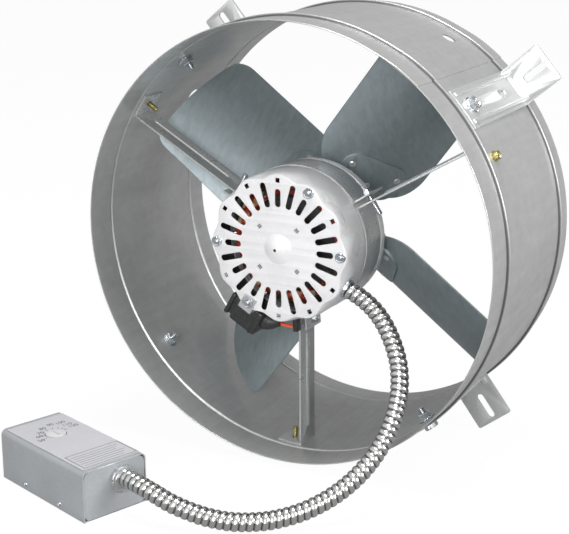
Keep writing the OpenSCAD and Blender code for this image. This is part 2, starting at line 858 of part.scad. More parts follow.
// A soft boot from the capacitor's side to a tip beside the motor, with a bore a lead
module capacitor_boot()
    color(black_plastic) difference() {
        cap_frame() hull() {
            translate([cap_in_r + boot_in, cap_shift + cap_w / 2, lead_place])
                rotate([-90, 0, 0]) cylinder(r = boot_r, h = tab_t);
            rotate([0, 0, boot_tip_angle])
                translate([motor_r + boot_tip_rise, 0, lead_place])
                    rotate([90, 0, 0]) cylinder(r = boot_tip_r, h = tab_t);
        }
        axial() for (rise = lead_rises) lead_run(rise, lead_r + lead_gap);
    }

// The run of a lead round the motor, from inside the boot to its entry
module lead_run(rise, r)
    rotate([0, 0, lead_start_angle])
        rotate_extrude(angle = lead_end_angle - lead_start_angle)
            translate([motor_r + rise, lead_place]) circle(r = r, $fn = 24);

module capacitor_leads()
    color(copper_red) axial() for (rise = lead_rises) lead_run(rise, lead_r);

// The moulded entry on the motor's side that the leads end in
module lead_grommet()
    color(black_plastic) axial() difference() {
        union() {
            difference() {
                lead_entry_line() translate([0, 0, motor_r - shield_t])
                    linear_extrude(height = entry_rise + shield_t)
                        rounded_rect([entry_w, entry_t], entry_t / 4);
                cylinder(r = motor_r + entry_gap, h = drum_depth, $fn = wall_fn);
            }
            lead_entry_line() translate([0, 0, motor_r - shield_t - entry_neck_in])
                cylinder(r = entry_neck_r - entry_t / 4, h = shield_t + 3 * entry_neck_in);
        }
        for (rise = lead_rises) lead_run(rise, lead_r + lead_gap);
    }

// The hub and the blades

// The frame of one blade: x along the blade, y along its chord, z out of its hollow side
module blade_frame(angle)
    axial() rotate([0, 0, angle]) translate([0, blade_lead, blade_place])
        rotate([blade_pitch, 0, 0]) children();

module bent_sheet(inner_r, outer_r)
    translate([0, 0, blade_camber - bend_r]) rotate([0, 90, 0]) difference() {
        cylinder(r = outer_r, h = fan_r, $fn = 360);
        translate([0, 0, -overrun]) cylinder(r = inner_r, h = fan_r + 2 * overrun, $fn = 360);
    }

module blade_outline() {
    half = blade_chord / 2;
    polygon(concat(
        arc([blade_root + root_round_far, root_round_far - half],
            root_round_far, 180, 270, 8),
        arc([fan_r - blade_tip_round, blade_tip_round - half],
            blade_tip_round, 270, 360, 8),
        arc([fan_r - blade_tip_round, half - blade_tip_round],
            blade_tip_round, 0, 90, 8),
        arc([blade_root + root_round_near, half - root_round_near],
            root_round_near, 90, 180, 10)));
}

// A place on the blade's outer skin, with local z square to the skin
module on_skin(u, c)
    translate([u, 0, blade_camber - bend_r]) rotate([-c / bend_r * 180 / PI, 0, 0])
        translate([0, 0, bend_r]) children();

module rivet_holes()
    for (at = rivet_places)
        on_skin(at[0], at[1]) translate([0, 0, -4 * blade_t])
            cylinder(r = rivet_r, h = 4 * blade_t + 4 * spider_t, $fn = 32);

module fan_blade(angle)
    color(blade_steel) intersection() {
        blade_frame(angle) difference() {
            intersection() {
                linear_extrude(height = blade_chord, center = true) blade_outline();
                bent_sheet(bend_r - blade_t, bend_r);
            }
            rivet_holes();
        }
        axial() cylinder(r = fan_r, h = drum_depth, $fn = wall_fn);
    }

module fan_blade_1() fan_blade(blade_angles[0]);
module fan_blade_2() fan_blade(blade_angles[1]);
module fan_blade_3() fan_blade(blade_angles[2]);
module fan_blade_4() fan_blade(blade_angles[3]);

module spider_paddle()
    difference() {
        intersection() {
            translate([(spider_root + spider_reach) / 2, spider_shift, 0])
                linear_extrude(height = blade_chord, center = true)
                    rounded_rect([spider_reach - spider_root, spider_w],
                                 (spider_reach - spider_root) * 0.45);
            bent_sheet(bend_r, bend_r + spider_t);
        }
        rivet_holes();
    }

// The twisted neck between the flat disc and a pitched paddle
module spider_neck(angle)
    difference() {
        hull() {
            axial() rotate([0, 0, angle])
                translate([spider_disc_r * 0.7, 0, spider_place])
                    cube([spider_t, spider_disc_r, spider_t], center = true);
            blade_frame(angle) on_skin(spider_root + 4 * spider_t, spider_shift)
                translate([0, 0, spider_t / 2])
                    cube([spider_t, spider_w * 0.52, spider_t], center = true);
        }
        blade_frame(angle) blade_room();
    }

// The room that a blade and its rivets take beside the neck
module blade_room() {
    intersection() {
        linear_extrude(height = blade_chord, center = true) blade_outline();
        bent_sheet(bend_r - 8 * blade_t, bend_r);
    }
    rivet_holes();
    for (at = rivet_places)
        on_skin(at[0], at[1]) translate([0, 0, spider_t])
            cylinder(r = rivet_head_r + hole_gap, h = 4 * spider_t, $fn = 32);
}

module hub_spider()
    color(blade_steel) difference() {
        union() {
            axial() translate([0, 0, spider_place - spider_t / 2])
                cylinder(r = spider_disc_r, h = spider_t);
            for (angle = blade_angles) {
                blade_frame(angle) spider_paddle();
                spider_neck(angle);
            }
        }
        axial() translate([0, 0, spider_place - 10 * spider_t])
            cylinder(r = shaft_r, h = 20 * spider_t);
    }

module blade_rivets()
    color(zinc) for (angle = blade_angles) blade_frame(angle)
        for (at = rivet_places)
            on_skin(at[0], at[1]) {
                translate([0, 0, -blade_t - rivet_seat])
                    cylinder(r = rivet_r, h = blade_t + rivet_seat + spider_t, $fn = 32);
                translate([0, 0, -blade_t - rivet_seat - rivet_head_h])
                    cylinder(r = rivet_head_r, h = rivet_head_h, $fn = 32);
                translate([0, 0, spider_t])
                    cylinder(r1 = rivet_head_r, r2 = rivet_r, h = rivet_head_h, $fn = 32);
            }

module hub_collar()
    color(zinc) axial() difference() {
        translate([0, 0, spider_place - spider_t / 2 - collar_len])
            tube(collar_r, shaft_r, collar_len);
        set_screw_line() cylinder(r = set_screw_r, h = collar_r, $fn = 32);
    }

module set_screw_line()
    rotate([0, 0, blade_angles[0] + 45])
        translate([shaft_r, 0, spider_place - spider_t / 2 - collar_len / 2])
            rotate([0, 90, 0]) children();

module hub_set_screw()
    color(dark_steel) axial() set_screw_line() difference() {
        cylinder(r = set_screw_r, h = set_screw_len, $fn = 32);
        translate([0, 0, set_screw_len / 2]) hex_prism(set_screw_r, set_screw_len);
    }

// The conduit and its connectors

module motor_connector()
    color(zinc) difference() {
        outward(motor_exit_angle, motor_exit_place, 0) {
            translate([0, 0, motor_r - shield_t])
                cylinder(r = connector_r, h = motor_exit_r - motor_r + shield_t);
            translate([0, 0, motor_r - shield_t])
                cylinder(r = ferrule_r, h = shield_t + ferrule_t);
        }
        axial() cylinder(r = motor_r, h = drum_depth + overrun, $fn = wall_fn);
        outward(motor_exit_angle, motor_exit_place, 0)
            cylinder(r = connector_bore_r, h = motor_exit_r + overrun);
    }

route_last = len(conduit_route) - 1;
span_len = [for (i = [0 : route_last - 1]) norm(conduit_route[i + 1] - conduit_route[i])];
run_to = [for (i = 0, s = 0; i <= route_last; s = s + (i < route_last ? span_len[i] : 0),
               i = i + 1) s];
ring_total = 2 * conduit_ribs;
conduit_run = run_to[route_last];

function route_point(i) =
    i < 0 ? 2 * conduit_route[0] - conduit_route[1]
    : i > route_last ? 2 * conduit_route[route_last] - conduit_route[route_last - 1]
    : conduit_route[i];

function smooth(a, b, c, d, t) =
    0.5 * (2 * b + (c - a) * t + (2 * a - 5 * b + 4 * c - d) * t * t
           + (3 * b - a - 3 * c + d) * t * t * t);

function span_at(s, i = 0) =
    i >= route_last - 1 || s <= run_to[i + 1] ? i : span_at(s, i + 1);

function route_at(s) =
    let (i = span_at(s), t = (s - run_to[i]) / span_len[i])
        smooth(route_point(i - 1), route_point(i), route_point(i + 1), route_point(i + 2), t);

function unit(v) = v / norm(v);

// One ring of the hose, square to the route at a distance along it
function ring(s, r) =
    let (step = conduit_run / ring_total,
         ahead = unit(route_at(min(s + step, conduit_run)) - route_at(max(s - step, 0))),
         across = unit(cross(ahead, ring_ref)),
         up = cross(across, ahead),
         centre = route_at(s))
        [for (k = [0 : conduit_sides - 1])
            let (a = 360 * (k + 0.5) / conduit_sides)
                centre + r / cos(180 / conduit_sides) * (cos(a) * across + sin(a) * up)];

module flexible_conduit() {
    n = conduit_sides;
    step = conduit_run / ring_total;
    outer_count = ring_total + 1;
    inner_count = conduit_ribs / 2 + 1;
    outer = [for (j = [0 : ring_total])
        each ring(j * step, (j % 2 == 0 ? conduit_root_r : conduit_r) * cos(180 / n))];
    inner = [for (j = [0 : inner_count - 1])
        each ring(j * conduit_run / (inner_count - 1), conduit_bore_r)];
    base = outer_count * n;
    outer_faces = [for (j = [0 : outer_count - 2], k = [0 : n - 1])
        let (a = j * n + k, b = j * n + (k + 1) % n)
            each [[a, b, b + n], [a, b + n, a + n]]];
    inner_faces = [for (j = [0 : inner_count - 2], k = [0 : n - 1])
        let (a = base + j * n + k, b = base + j * n + (k + 1) % n)
            each [[a, b + n, b], [a, a + n, b + n]]];
    last_out = (outer_count - 1) * n;
    last_in = base + (inner_count - 1) * n;
    cap_faces = [for (k = [0 : n - 1])
        let (m = (k + 1) % n)
            each [[k, base + m, m], [k, base + k, base + m],
                  [last_out + k, last_out + m, last_in + m],
                  [last_out + k, last_in + m, last_in + k]]];
    color(zinc) polyhedron(points = concat(outer, inner),
                           faces = concat(outer_faces, inner_faces, cap_faces));
}

// The thermostat box: local x runs to its conduit end and local z up from the floor

module box_frame()
    translate([box_x, box_y, floor_z]) rotate([0, 0, box_turn]) children();

module exit_line()
    box_frame() translate([box_len / 2, box_exit_y, box_exit_z]) rotate([0, 90, 0])
        children();

module thermostat_base()
    color(grey_paint) difference() {
        box_frame() {
            inner_w = box_w - 2 * (box_t + box_fit);
            translate([-box_len / 2, -inner_w / 2, 0]) cube([box_len, inner_w, box_t]);
            for (x = [-box_len / 2, box_len / 2 - box_t])
                translate([x, -inner_w / 2, 0])
                    cube([box_t, inner_w, box_h - box_t - box_fit]);
        }
        exit_line() translate([0, 0, -2 * box_t])
            cylinder(r = nipple_r + nipple_gap, h = 4 * box_t);
        box_frame() translate([-box_len / 2 - box_t, 0, box_h / 2]) rotate([0, 90, 0])
            cylinder(d = slug_d, h = 4 * box_t);
    }

module thermostat_cover()
    color(grey_paint) difference() {
        box_frame() translate([-box_len / 2, 0, 0]) rotate([90, 0, 90])
            linear_extrude(height = box_len) difference() {
                cover_section(box_w / 2, box_h, box_round);
                cover_section(box_w / 2 - box_t, box_h - box_t, box_round - box_t);
            }
        box_frame() translate([dial_x, dial_y, box_h - 2 * box_t])
            cylinder(r = dial_r + dial_gap, h = 4 * box_t);
        for (side = [-1, 1], x = [-cover_screw_x, cover_screw_x])
            box_frame() translate([x, side * (box_w / 2 + overrun), cover_screw_z])
                rotate([side * 90, 0, 0])
                    cylinder(r = cover_screw_r + hole_gap, h = box_t + 2 * overrun);
    }

module cover_section(half, height, r)
    polygon(concat([[half, 0]], arc([half - r, height - r], r, 0, 90, 6),
                   arc([r - half, height - r], r, 90, 180, 6), [[-half, 0]]));

module thermostat_label()
    color("#dcdcd8") box_frame() translate([0, 0, box_h]) linear_extrude(height = label_t)
        difference() {
            square([box_len - 2 * label_end_margin, box_w - 2 * label_margin], center = true);
            translate([dial_x, dial_y]) circle(r = dial_r + dial_gap);
        }

module cover_screws()
    color(zinc) for (side = [-1, 1], x = [-cover_screw_x, cover_screw_x])
        box_frame() translate([x, side * box_w / 2, cover_screw_z]) rotate([-side * 90, 0, 0]) {
            translate([0, 0, -cover_screw_len])
                cylinder(r = cover_screw_r, h = cover_screw_len, $fn = 32);
            cylinder(r1 = cover_screw_head_r, r2 = cover_screw_head_r * 0.6,
                     h = cover_screw_head_h, $fn = 32);
        }

module box_connector()
    color(zinc) exit_line() difference() {
        union() {
            translate([0, 0, -box_t - locknut_t - box_fit])
                cylinder(r = nipple_r, h = box_t + locknut_t + 2 * box_fit);
            cylinder(r = connector_ring_r, h = connector_ring_t);
            cylinder(r = connector_r, h = box_exit_len);
        }
        translate([0, 0, -box_t - locknut_t - overrun])
            cylinder(r = connector_bore_r, h = box_exit_len + box_t + locknut_t + 2 * overrun);
    }

module connector_locknut()
    color(zinc) exit_line() translate([0, 0, -box_t - locknut_t]) difference() {
        union() {
            cylinder(r = locknut_r - locknut_tooth, h = locknut_t);
            for (i = [0 : locknut_teeth - 1])
                rotate([0, 0, 360 / locknut_teeth * i])
                    translate([locknut_r - 2 * locknut_tooth, -locknut_tooth, 0])
                        cube([2 * locknut_tooth, 2 * locknut_tooth, locknut_t]);
        }
        translate([0, 0, -overrun]) cylinder(r = nipple_r, h = locknut_t + 2 * overrun);
    }

module knockout_slug()
    color(grey_paint) box_frame()
        translate([-box_len / 2, 0, box_h / 2]) rotate([0, 90, 0])
            cylinder(r = slug_d / 2 - nipple_gap, h = slug_t);

// The switch inside the box, on its own bracket, with the dial's stem through its bush

module switch_bracket()
    color(galvanised) box_frame() translate([dial_x, dial_y, box_t]) {
        leg = switch_low - box_t;
        translate([-switch_len / 2, -switch_w / 2, leg - bracket_plate_t])
            cube([switch_len, switch_w, bracket_plate_t]);
        for (side = [-1, 1])
            translate([side * (switch_len - bracket_plate_t) / 2, 0, leg / 2])
                cube([bracket_plate_t, switch_w, leg], center = true);
    }

module switch_body()
    color(black_plastic) box_frame() translate([dial_x, dial_y, 0]) difference() {
        union() {
            translate([-switch_len / 2, -switch_w / 2, switch_low])
                cube([switch_len, switch_w, switch_h]);
            translate([0, 0, switch_top]) cylinder(r = bush_r, h = bush_rise);
        }
        translate([0, 0, bush_top - stem_len])
            cylinder(r = stem_r + run_gap, h = stem_len + overrun);
    }

module bimetal_strip()
    color(bronze) box_frame()
        translate([dial_x + switch_len / 2, dial_y - bimetal_w / 2, switch_top - 2 * bimetal_t]) {
            cube([bimetal_len, bimetal_w, bimetal_t]);
            translate([0, 0, -bimetal_w / 2]) cube([bimetal_t, bimetal_w, bimetal_w / 2]);
        }

module terminal_places()
    for (side = [-1, 1])
        box_frame() translate([dial_x + side * switch_len * 0.32,
                               dial_y + switch_w / 2, switch_low + switch_h * terminal_share])
            rotate([-90, 0, 0]) children();

module terminal_screws()
    color("#c8a850") terminal_places() difference() {
        cylinder(r = terminal_r, h = terminal_h, $fn = 32);
        translate([-terminal_r, -terminal_r * 0.15, terminal_h * 0.6])
            cube([2 * terminal_r, terminal_r * 0.3, terminal_h]);
    }

// Two wires that come out of the conduit and turn to the switch's terminals
module switch_leads()
    color("#303032") box_frame() for (side = [-1, 1]) {
        x = dial_x + side * switch_len * 0.32;
        y = dial_y + switch_w / 2 + terminal_h + lead_wire_r;
        z = switch_low + switch_h * terminal_share - side * 1.05 * lead_wire_r;
        far = box_len / 2;
        translate([x, y, z]) rotate([0, 90, 0])
            cylinder(r = lead_wire_r, h = far - x, $fn = 24);
        translate([x, y, z]) sphere(r = lead_wire_r, $fn = 24);
    }

module ground_screw()
    color("#3c7850") box_frame() translate([box_len * 0.3, -box_w * 0.3, box_t]) {
        cylinder(r = terminal_r, h = terminal_h, $fn = 32);
        translate([0, 0, terminal_h]) hex_prism(terminal_r * 1.5, terminal_h / 2);
    }

module thermostat_dial()
    color("#ececea") box_frame() translate([dial_x, dial_y, dial_low]) difference() {
        union() {
            cylinder(r = dial_r, h = dial_t);
            translate([0, 0, -stem_len * 0.8]) cylinder(r = stem_r, h = stem_len * 0.8 + dial_t / 2);
        }
        translate([0, 0, dial_t]) cube([dial_d * 0.7, dial_d * 0.12, dial_t * 0.6], center = true);
    }

drum_shell();
wall_bracket_1();
wall_bracket_2();
wall_bracket_3();
wall_bracket_4();
bracket_bolts();
bracket_nuts();
motor_arm_1();
motor_arm_2();
motor_arm_3();
arm_end_screws();
clamp_screws();
inlet_end_shield();
motor_shell();
outlet_end_shield();
stator_core();
stator_windings();
inlet_bearing();
outlet_bearing();
through_bolts();
through_bolt_nuts();
rotor_core();
rotor_cage();
motor_shaft();
thrust_collars();
run_capacitor();
capacitor_tab();
capacitor_boot();
capacitor_leads();
lead_grommet();
hub_spider();
hub_collar();
hub_set_screw();
blade_rivets();
fan_blade_1();
fan_blade_2();
fan_blade_3();
fan_blade_4();
motor_connector();
flexible_conduit();
thermostat_base();
thermostat_cover();
thermostat_label();
cover_screws();
box_connector();
connector_locknut();
knockout_slug();
switch_bracket();
switch_body();
bimetal_strip();
terminal_screws();
switch_leads();
ground_screw();
thermostat_dial();
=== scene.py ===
"""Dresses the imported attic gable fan: a galvanised drum on wall brackets, a white vented
motor on three strip arms, a four blade fan, and a thermostat box on metal conduit."""

import json
from math import atan2, cos, degrees, pi, radians, sin, sqrt

import bmesh
import bpy
from mathutils import Matrix, Vector

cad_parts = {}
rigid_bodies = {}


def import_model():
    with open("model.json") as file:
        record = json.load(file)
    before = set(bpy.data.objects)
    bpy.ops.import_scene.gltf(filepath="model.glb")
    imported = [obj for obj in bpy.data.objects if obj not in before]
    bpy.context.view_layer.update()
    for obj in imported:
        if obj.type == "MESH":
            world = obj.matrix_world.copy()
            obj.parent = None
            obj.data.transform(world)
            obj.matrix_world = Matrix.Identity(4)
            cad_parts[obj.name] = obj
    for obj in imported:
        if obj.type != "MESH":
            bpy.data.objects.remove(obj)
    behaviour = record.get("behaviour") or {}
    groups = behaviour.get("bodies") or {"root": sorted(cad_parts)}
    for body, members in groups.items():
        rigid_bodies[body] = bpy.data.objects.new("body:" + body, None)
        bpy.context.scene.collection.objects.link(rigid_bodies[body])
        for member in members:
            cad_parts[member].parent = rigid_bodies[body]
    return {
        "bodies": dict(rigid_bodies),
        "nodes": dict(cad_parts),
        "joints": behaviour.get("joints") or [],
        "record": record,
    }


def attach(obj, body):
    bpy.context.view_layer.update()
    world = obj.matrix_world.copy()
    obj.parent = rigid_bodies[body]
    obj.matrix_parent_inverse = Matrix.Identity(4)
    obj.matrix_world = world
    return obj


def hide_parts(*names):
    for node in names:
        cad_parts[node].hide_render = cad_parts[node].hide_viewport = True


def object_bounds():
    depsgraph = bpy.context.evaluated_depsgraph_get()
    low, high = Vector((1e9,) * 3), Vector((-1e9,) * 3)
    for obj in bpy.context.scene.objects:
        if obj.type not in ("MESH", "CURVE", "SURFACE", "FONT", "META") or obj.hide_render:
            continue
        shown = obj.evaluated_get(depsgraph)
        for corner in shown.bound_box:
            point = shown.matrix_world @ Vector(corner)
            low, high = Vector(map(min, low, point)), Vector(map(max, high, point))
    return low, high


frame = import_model()
nodes = frame["nodes"]
cad_low, cad_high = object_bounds()
scene = bpy.context.scene

# Camera and studio
# The fan stands on a pale floor, seen from the motor's side, a little from the right
# and from above, in soft white light with a broad key light at the upper right.

CAMERA_AT = (0.5402, -1.1700, 0.3074)
CAMERA_TURN = radians(26.626)
CAMERA_DIP = radians(14.308)
PICTURE_W = 569
PICTURE_H = 534
FOCAL_LENGTH = 1417.48
CENTRE_X = 328.43
CENTRE_Y = 224.17
SENSOR = 36
FLOOR_Z = cad_low.z
FLOOR_HALF = 6
LAMP_SIZE = 1.0
LAMP_AIM = Vector((0, -0.1, 0))


def linked(name, data):
    """A new object in the scene."""
    made = bpy.data.objects.new(name, data)
    scene.collection.objects.link(made)
    return made


camera = linked("camera", bpy.data.cameras.new("camera"))
camera.location = CAMERA_AT
camera.rotation_euler = (pi / 2 - CAMERA_DIP, 0, CAMERA_TURN)
camera.data.sensor_fit = "HORIZONTAL"
camera.data.sensor_width = SENSOR
camera.data.lens = FOCAL_LENGTH / PICTURE_W * SENSOR
camera.data.shift_x = (PICTURE_W / 2 - CENTRE_X) / PICTURE_W
camera.data.shift_y = (CENTRE_Y - PICTURE_H / 2) / PICTURE_W
camera.data.dof.use_dof = False
camera.data.clip_end = 30
scene.camera = camera
scene.view_settings.view_transform = "Standard"


def put(tree, socket, value):
    """Sets a socket to a value, or joins it to a socket or to a node's first output."""
    if isinstance(value, bpy.types.Node):
        value = value.outputs[0]
    if isinstance(value, bpy.types.NodeSocket):
        tree.links.new(value, socket)
    elif socket.type == "RGBA":
        socket.default_value = (*value, 1)
    else:
        socket.default_value = value


def add(tree, kind, *first, **rest):
    """A new node: its first inputs in order, then its settings, and in_NAME for an input."""
    node = tree.nodes.new(kind)
    inputs = dict(enumerate(first))
    for key, value in rest.items():
        if key.startswith("in_"):
            name = key[3:]
            inputs[int(name) if name.isdigit() else name.replace("_", " ")] = value
        else:
            setattr(node, key, value)
    for name, value in inputs.items():
        put(tree, node.inputs[name], value)
    return node


def figure(tree, operation, *values):
    return add(tree, "ShaderNodeMath", *values, operation=operation)


def ramp(tree, value, low, high, to_low=0.0, to_high=1.0):
    """Maps a value between low and high to the other two, and holds it there."""
    return add(tree, "ShaderNodeMapRange", value, low, high, to_low, to_high)


def new_finish(name):
    material = bpy.data.materials.new(name)
    material.use_nodes = True
    material.node_tree.nodes.clear()
    return material, material.node_tree


floor_mesh = bpy.data.meshes.new("studio_floor")
floor_mesh.from_pydata([(x * FLOOR_HALF, y * FLOOR_HALF, FLOOR_Z)
                        for x, y in ((-1, -1), (1, -1), (1, 1), (-1, 1))], [], [(0, 1, 2, 3)])
floor_finish, tree = new_finish("pale_floor")
rays = add(tree, "ShaderNodeLightPath").outputs
diffuse = add(tree, "ShaderNodeBsdfDiffuse", (0.60, 0.60, 0.60))
brightness = ramp(tree, rays["Is Camera Ray"], 0, 1, 0.32, 1.03)
glow = add(tree, "ShaderNodeEmission", (1, 1, 1), brightness)
seen = figure(tree, "MAXIMUM", rays["Is Camera Ray"], rays["Is Glossy Ray"])
seen = figure(tree, "MAXIMUM", seen, rays["Is Transmission Ray"])
both = add(tree, "ShaderNodeMixShader", figure(tree, "MULTIPLY", seen, 0.93), diffuse, glow)
add(tree, "ShaderNodeOutputMaterial", both)
floor_mesh.materials.append(floor_finish)
linked("studio_floor", floor_mesh)

world = bpy.data.worlds.new("studio")
scene.world = world
world.use_nodes = True
tree = world.node_tree
tree.nodes.clear()
ways = add(tree, "ShaderNodeSeparateXYZ", add(tree, "ShaderNodeTexCoord").outputs["Generated"])
rays = add(tree, "ShaderNodeLightPath").outputs
behind = ramp(tree, ways.outputs["Y"], -0.7, 0.85, 0.85, 0.26)
shiny = add(tree, "ShaderNodeMix", rays["Is Glossy Ray"], data_type="FLOAT", in_2=0.24,
            in_3=behind)
strength = add(tree, "ShaderNodeMix", rays["Is Camera Ray"], data_type="FLOAT", in_2=shiny,
               in_3=1.0)
add(tree, "ShaderNodeOutputWorld", add(tree, "ShaderNodeBackground", (1, 1, 1), strength))

for name, at, power in (("top_lamp", (0.2, -0.2, 2.2), 44), ("right_lamp", (2.2, 0.1, 0.7), 34),
                        ("front_lamp", (0.5, -2.2, 0.6), 34)):
    lamp = bpy.data.lights.new(name, "AREA")
    lamp.shape = "SQUARE"
    lamp.size = LAMP_SIZE
    lamp.energy = power
    holder = linked(name, lamp)
    holder.location = at
    holder.rotation_euler = (LAMP_AIM - Vector(at)).to_track_quat("-Z", "Y").to_euler()

# Flexible conduit
# A 15 mm flexible metal conduit of interlocked strip. Its bright rounded ribs run round
# it as a flat helix with grooves between them, darkened by painted shade. It leaves the
# motor's side, drops past the inlet rim, lies on the floor and rises into the end of the
# thermostat box.

ROUTE = [
    (59, -173, -30), (73.5, -173, -37.5), (86, -174.5, -47), (97, -178, -59.5),
    (107, -184.5, -74.5), (112.5, -190.5, -87), (116, -198.5, -100), (117, -208, -114),
    (115, -217.5, -128), (111.5, -229, -140), (106, -241, -151), (99, -252, -160),
    (90, -263.5, -168), (80, -275, -174), (69, -285, -178.5), (55.5, -296, -181.5),
    (43, -305.5, -182), (28.5, -313.5, -181.5), (13.5, -319, -179.5), (-0.5, -322.5, -176.5),
    (-18, -326, -171), (-35.5, -325.5, -165.5), (-52, -322, -163), (-67.5, -316.5, -163)]
CONDUIT_R = 0.0075
RIB_RISE = 0.0013
RIB_PITCH = 0.0055


def smooth_route(points, steps):
    """The same smooth line through the points that the CAD hose follows."""
    p = [Vector(q) / 1000 for q in points]
    p = [2 * p[0] - p[1]] + p + [2 * p[-1] - p[-2]]
    line = []
    for i in range(len(p) - 3):
        a, b, c, d = p[i:i + 4]
        for k in range(steps):
            t = k / steps
            line.append(0.5 * (2 * b + (c - a) * t + (2 * a - 5 * b + 4 * c - d) * t * t
                               + (3 * b - a - 3 * c + d) * t ** 3))
    return line + [p[-2]]


def new_group(name, kind, inputs, outputs):
    """A node group with named inputs (name, type, default) and outputs (name, type)."""
    group = bpy.data.node_groups.new(name, kind)
    for way, sockets in (("INPUT", inputs), ("OUTPUT", outputs)):
        for label, socket_type, *value in sockets:
            socket = group.interface.new_socket(name=label, in_out=way,
                                                socket_type="NodeSocket" + socket_type)
            if value:
                socket.default_value = value[0]
    return group, add(group, "NodeGroupInput").outputs, add(group, "NodeGroupOutput").inputs


def evaluated_mesh(made):
    return bpy.data.meshes.new_from_object(
        made.evaluated_get(bpy.context.evaluated_depsgraph_get()))


def belongs(piece, body, replaced):
    """Says which body a piece rides on and any CAD node it replaces."""
    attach(piece, body)
    if replaced:
        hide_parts(replaced)
    return piece


def run_tree(name, data, group, values):
    """Runs a geometry tree on a mesh or curve and returns its result as a plain object."""
    carrier = linked(name + "_maker", data)
    modifier = carrier.modifiers.new("maker", "NODES")
    modifier.node_group = group
    for item in group.interface.items_tree:
        if item.in_out == "INPUT" and item.name in values:
            modifier[item.identifier] = values[item.name]
    made = evaluated_mesh(carrier)
    made.name = name
    bpy.data.objects.remove(carrier)
    return linked(name, made)


conduit_line = smooth_route(ROUTE, 8)
line_curve = bpy.data.curves.new("conduit_line", "CURVE")
line_curve.dimensions = "3D"
spline = line_curve.splines.new("POLY")
spline.points.add(len(conduit_line) - 1)
for point, place in zip(spline.points, conduit_line):
    point.co = (*place, 1)

conduit_tree, given, result = new_group("interlocked_conduit", "GeometryNodeTree", [
    ("Line", "Geometry"), ("Radius", "Float", CONDUIT_R), ("Rib Rise", "Float", RIB_RISE),
    ("Rib Pitch", "Float", RIB_PITCH), ("Step", "Float", RIB_PITCH / 9), ("Sides", "Int", 28),
    ("Finish", "Material")], [("Hose", "Geometry")])
t = conduit_tree


def store(geometry, name, value):
    """Keeps a number on each point under a name."""
    return add(t, "GeometryNodeStoreNamedAttribute", data_type="FLOAT", domain="POINT",
               in_Geometry=geometry, in_Name=name, in_Value=value)


def read(name):
    return add(t, "GeometryNodeInputNamedAttribute", data_type="FLOAT", in_Name=name)


even = add(t, "GeometryNodeResampleCurve", mode="LENGTH", in_Curve=given["Line"],
           in_Length=given["Step"])
with_run = store(even, "run", add(t, "GeometryNodeSplineParameter").outputs["Length"])
circle = add(t, "GeometryNodeCurvePrimitiveCircle", in_Resolution=given["Sides"],
             in_Radius=given["Radius"])
with_turn = store(circle, "turn", add(t, "GeometryNodeSplineParameter").outputs["Factor"])
tube = add(t, "GeometryNodeCurveToMesh", with_run, with_turn, in_Fill_Caps=True)
along = figure(t, "DIVIDE", read("run"), given["Rib Pitch"])
phase = figure(t, "FRACT", figure(t, "ADD", along, read("turn")))
from_crest = figure(t, "ABSOLUTE", figure(t, "MULTIPLY_ADD", phase, 2.0, -1.0))
steep = figure(t, "POWER", from_crest, 2.6)
inward = figure(t, "MULTIPLY", figure(t, "MULTIPLY", steep, given["Rib Rise"]), -1.0)
shift = add(t, "ShaderNodeVectorMath", add(t, "GeometryNodeInputNormal"), operation="SCALE",
            in_Scale=inward)
ribbed = add(t, "GeometryNodeSetPosition", in_Geometry=tube, in_Offset=shift)
rounded = add(t, "GeometryNodeSetShadeSmooth", store(ribbed, "groove", steep))
joined = add(t, "GeometryNodeRealizeInstances", rounded)
put(t, result["Hose"], add(t, "GeometryNodeSetMaterial", in_Geometry=joined,
                           in_Material=given["Finish"]))


def object_place(tree):
    return add(tree, "ShaderNodeTexCoord").outputs["Object"]


def noise(tree, at, scale, detail, stretch=None, **more):
    """Noise at a place, drawn out along one way if a stretch is given."""
    if stretch:
        at = add(tree, "ShaderNodeMapping", in_Vector=at, in_Scale=stretch)
    return add(tree, "ShaderNodeTexNoise", in_Vector=at, in_Scale=scale, in_Detail=detail, **more)


def mixed(tree, share, one, other, how="MIX"):
    """Two colours mixed by a share."""
    return add(tree, "ShaderNodeMix", share, data_type="RGBA", blend_type=how, in_6=one,
               in_7=other).outputs[2]


def skinned(tree, colour, rough, height, bump, metallic, coat=0.0, coat_rough=0.03, step=0.001):
    """Ends a finish: its colour, roughness and dents go into one skin."""
    dents = add(tree, "ShaderNodeBump", in_Strength=bump, in_Distance=step, in_Height=height)
    skin = add(tree, "ShaderNodeBsdfPrincipled", in_Base_Color=colour, in_Roughness=rough,
               in_Metallic=metallic, in_Coat_Weight=coat, in_Coat_Roughness=coat_rough,
               in_Normal=dents)
    add(tree, "ShaderNodeOutputMaterial", skin)


def repaint(material, change):
    """Runs a finish's colour through a change, which takes the tree and the colour."""
    tree = material.node_tree
    base = tree.nodes["Principled BSDF"].inputs["Base Color"]
    put(tree, base, change(tree, base.links[0].from_socket))


# Zinc on sheet steel, as tint, roughness and height: faint crystals, clouds and scuffs.
zinc_surface, given, result = new_group("zinc_surface", "ShaderNodeTree", [
    ("Crystal Size", "Float", 140.0), ("Crystals", "Float", 0.1), ("Clouds", "Float", 0.2),
    ("Scuffs", "Float", 0.2), ("Base Roughness", "Float", 0.35)],
    [("Tint", "Float"), ("Roughness", "Float"), ("Height", "Float")])
g = zinc_surface
at = object_place(g)
crystal = add(g, "ShaderNodeTexVoronoi", in_Vector=at, in_Scale=given["Crystal Size"])
grey = add(g, "ShaderNodeSeparateColor", crystal.outputs["Color"])
cloud = noise(g, at, 9.0, 5.0, in_Roughness=0.62, in_Distortion=0.4)
scuff = noise(g, at, 1.0, 4.0, (260.0, 14.0, 90.0), in_Roughness=0.7)
grain = noise(g, at, 900.0, 2.0)


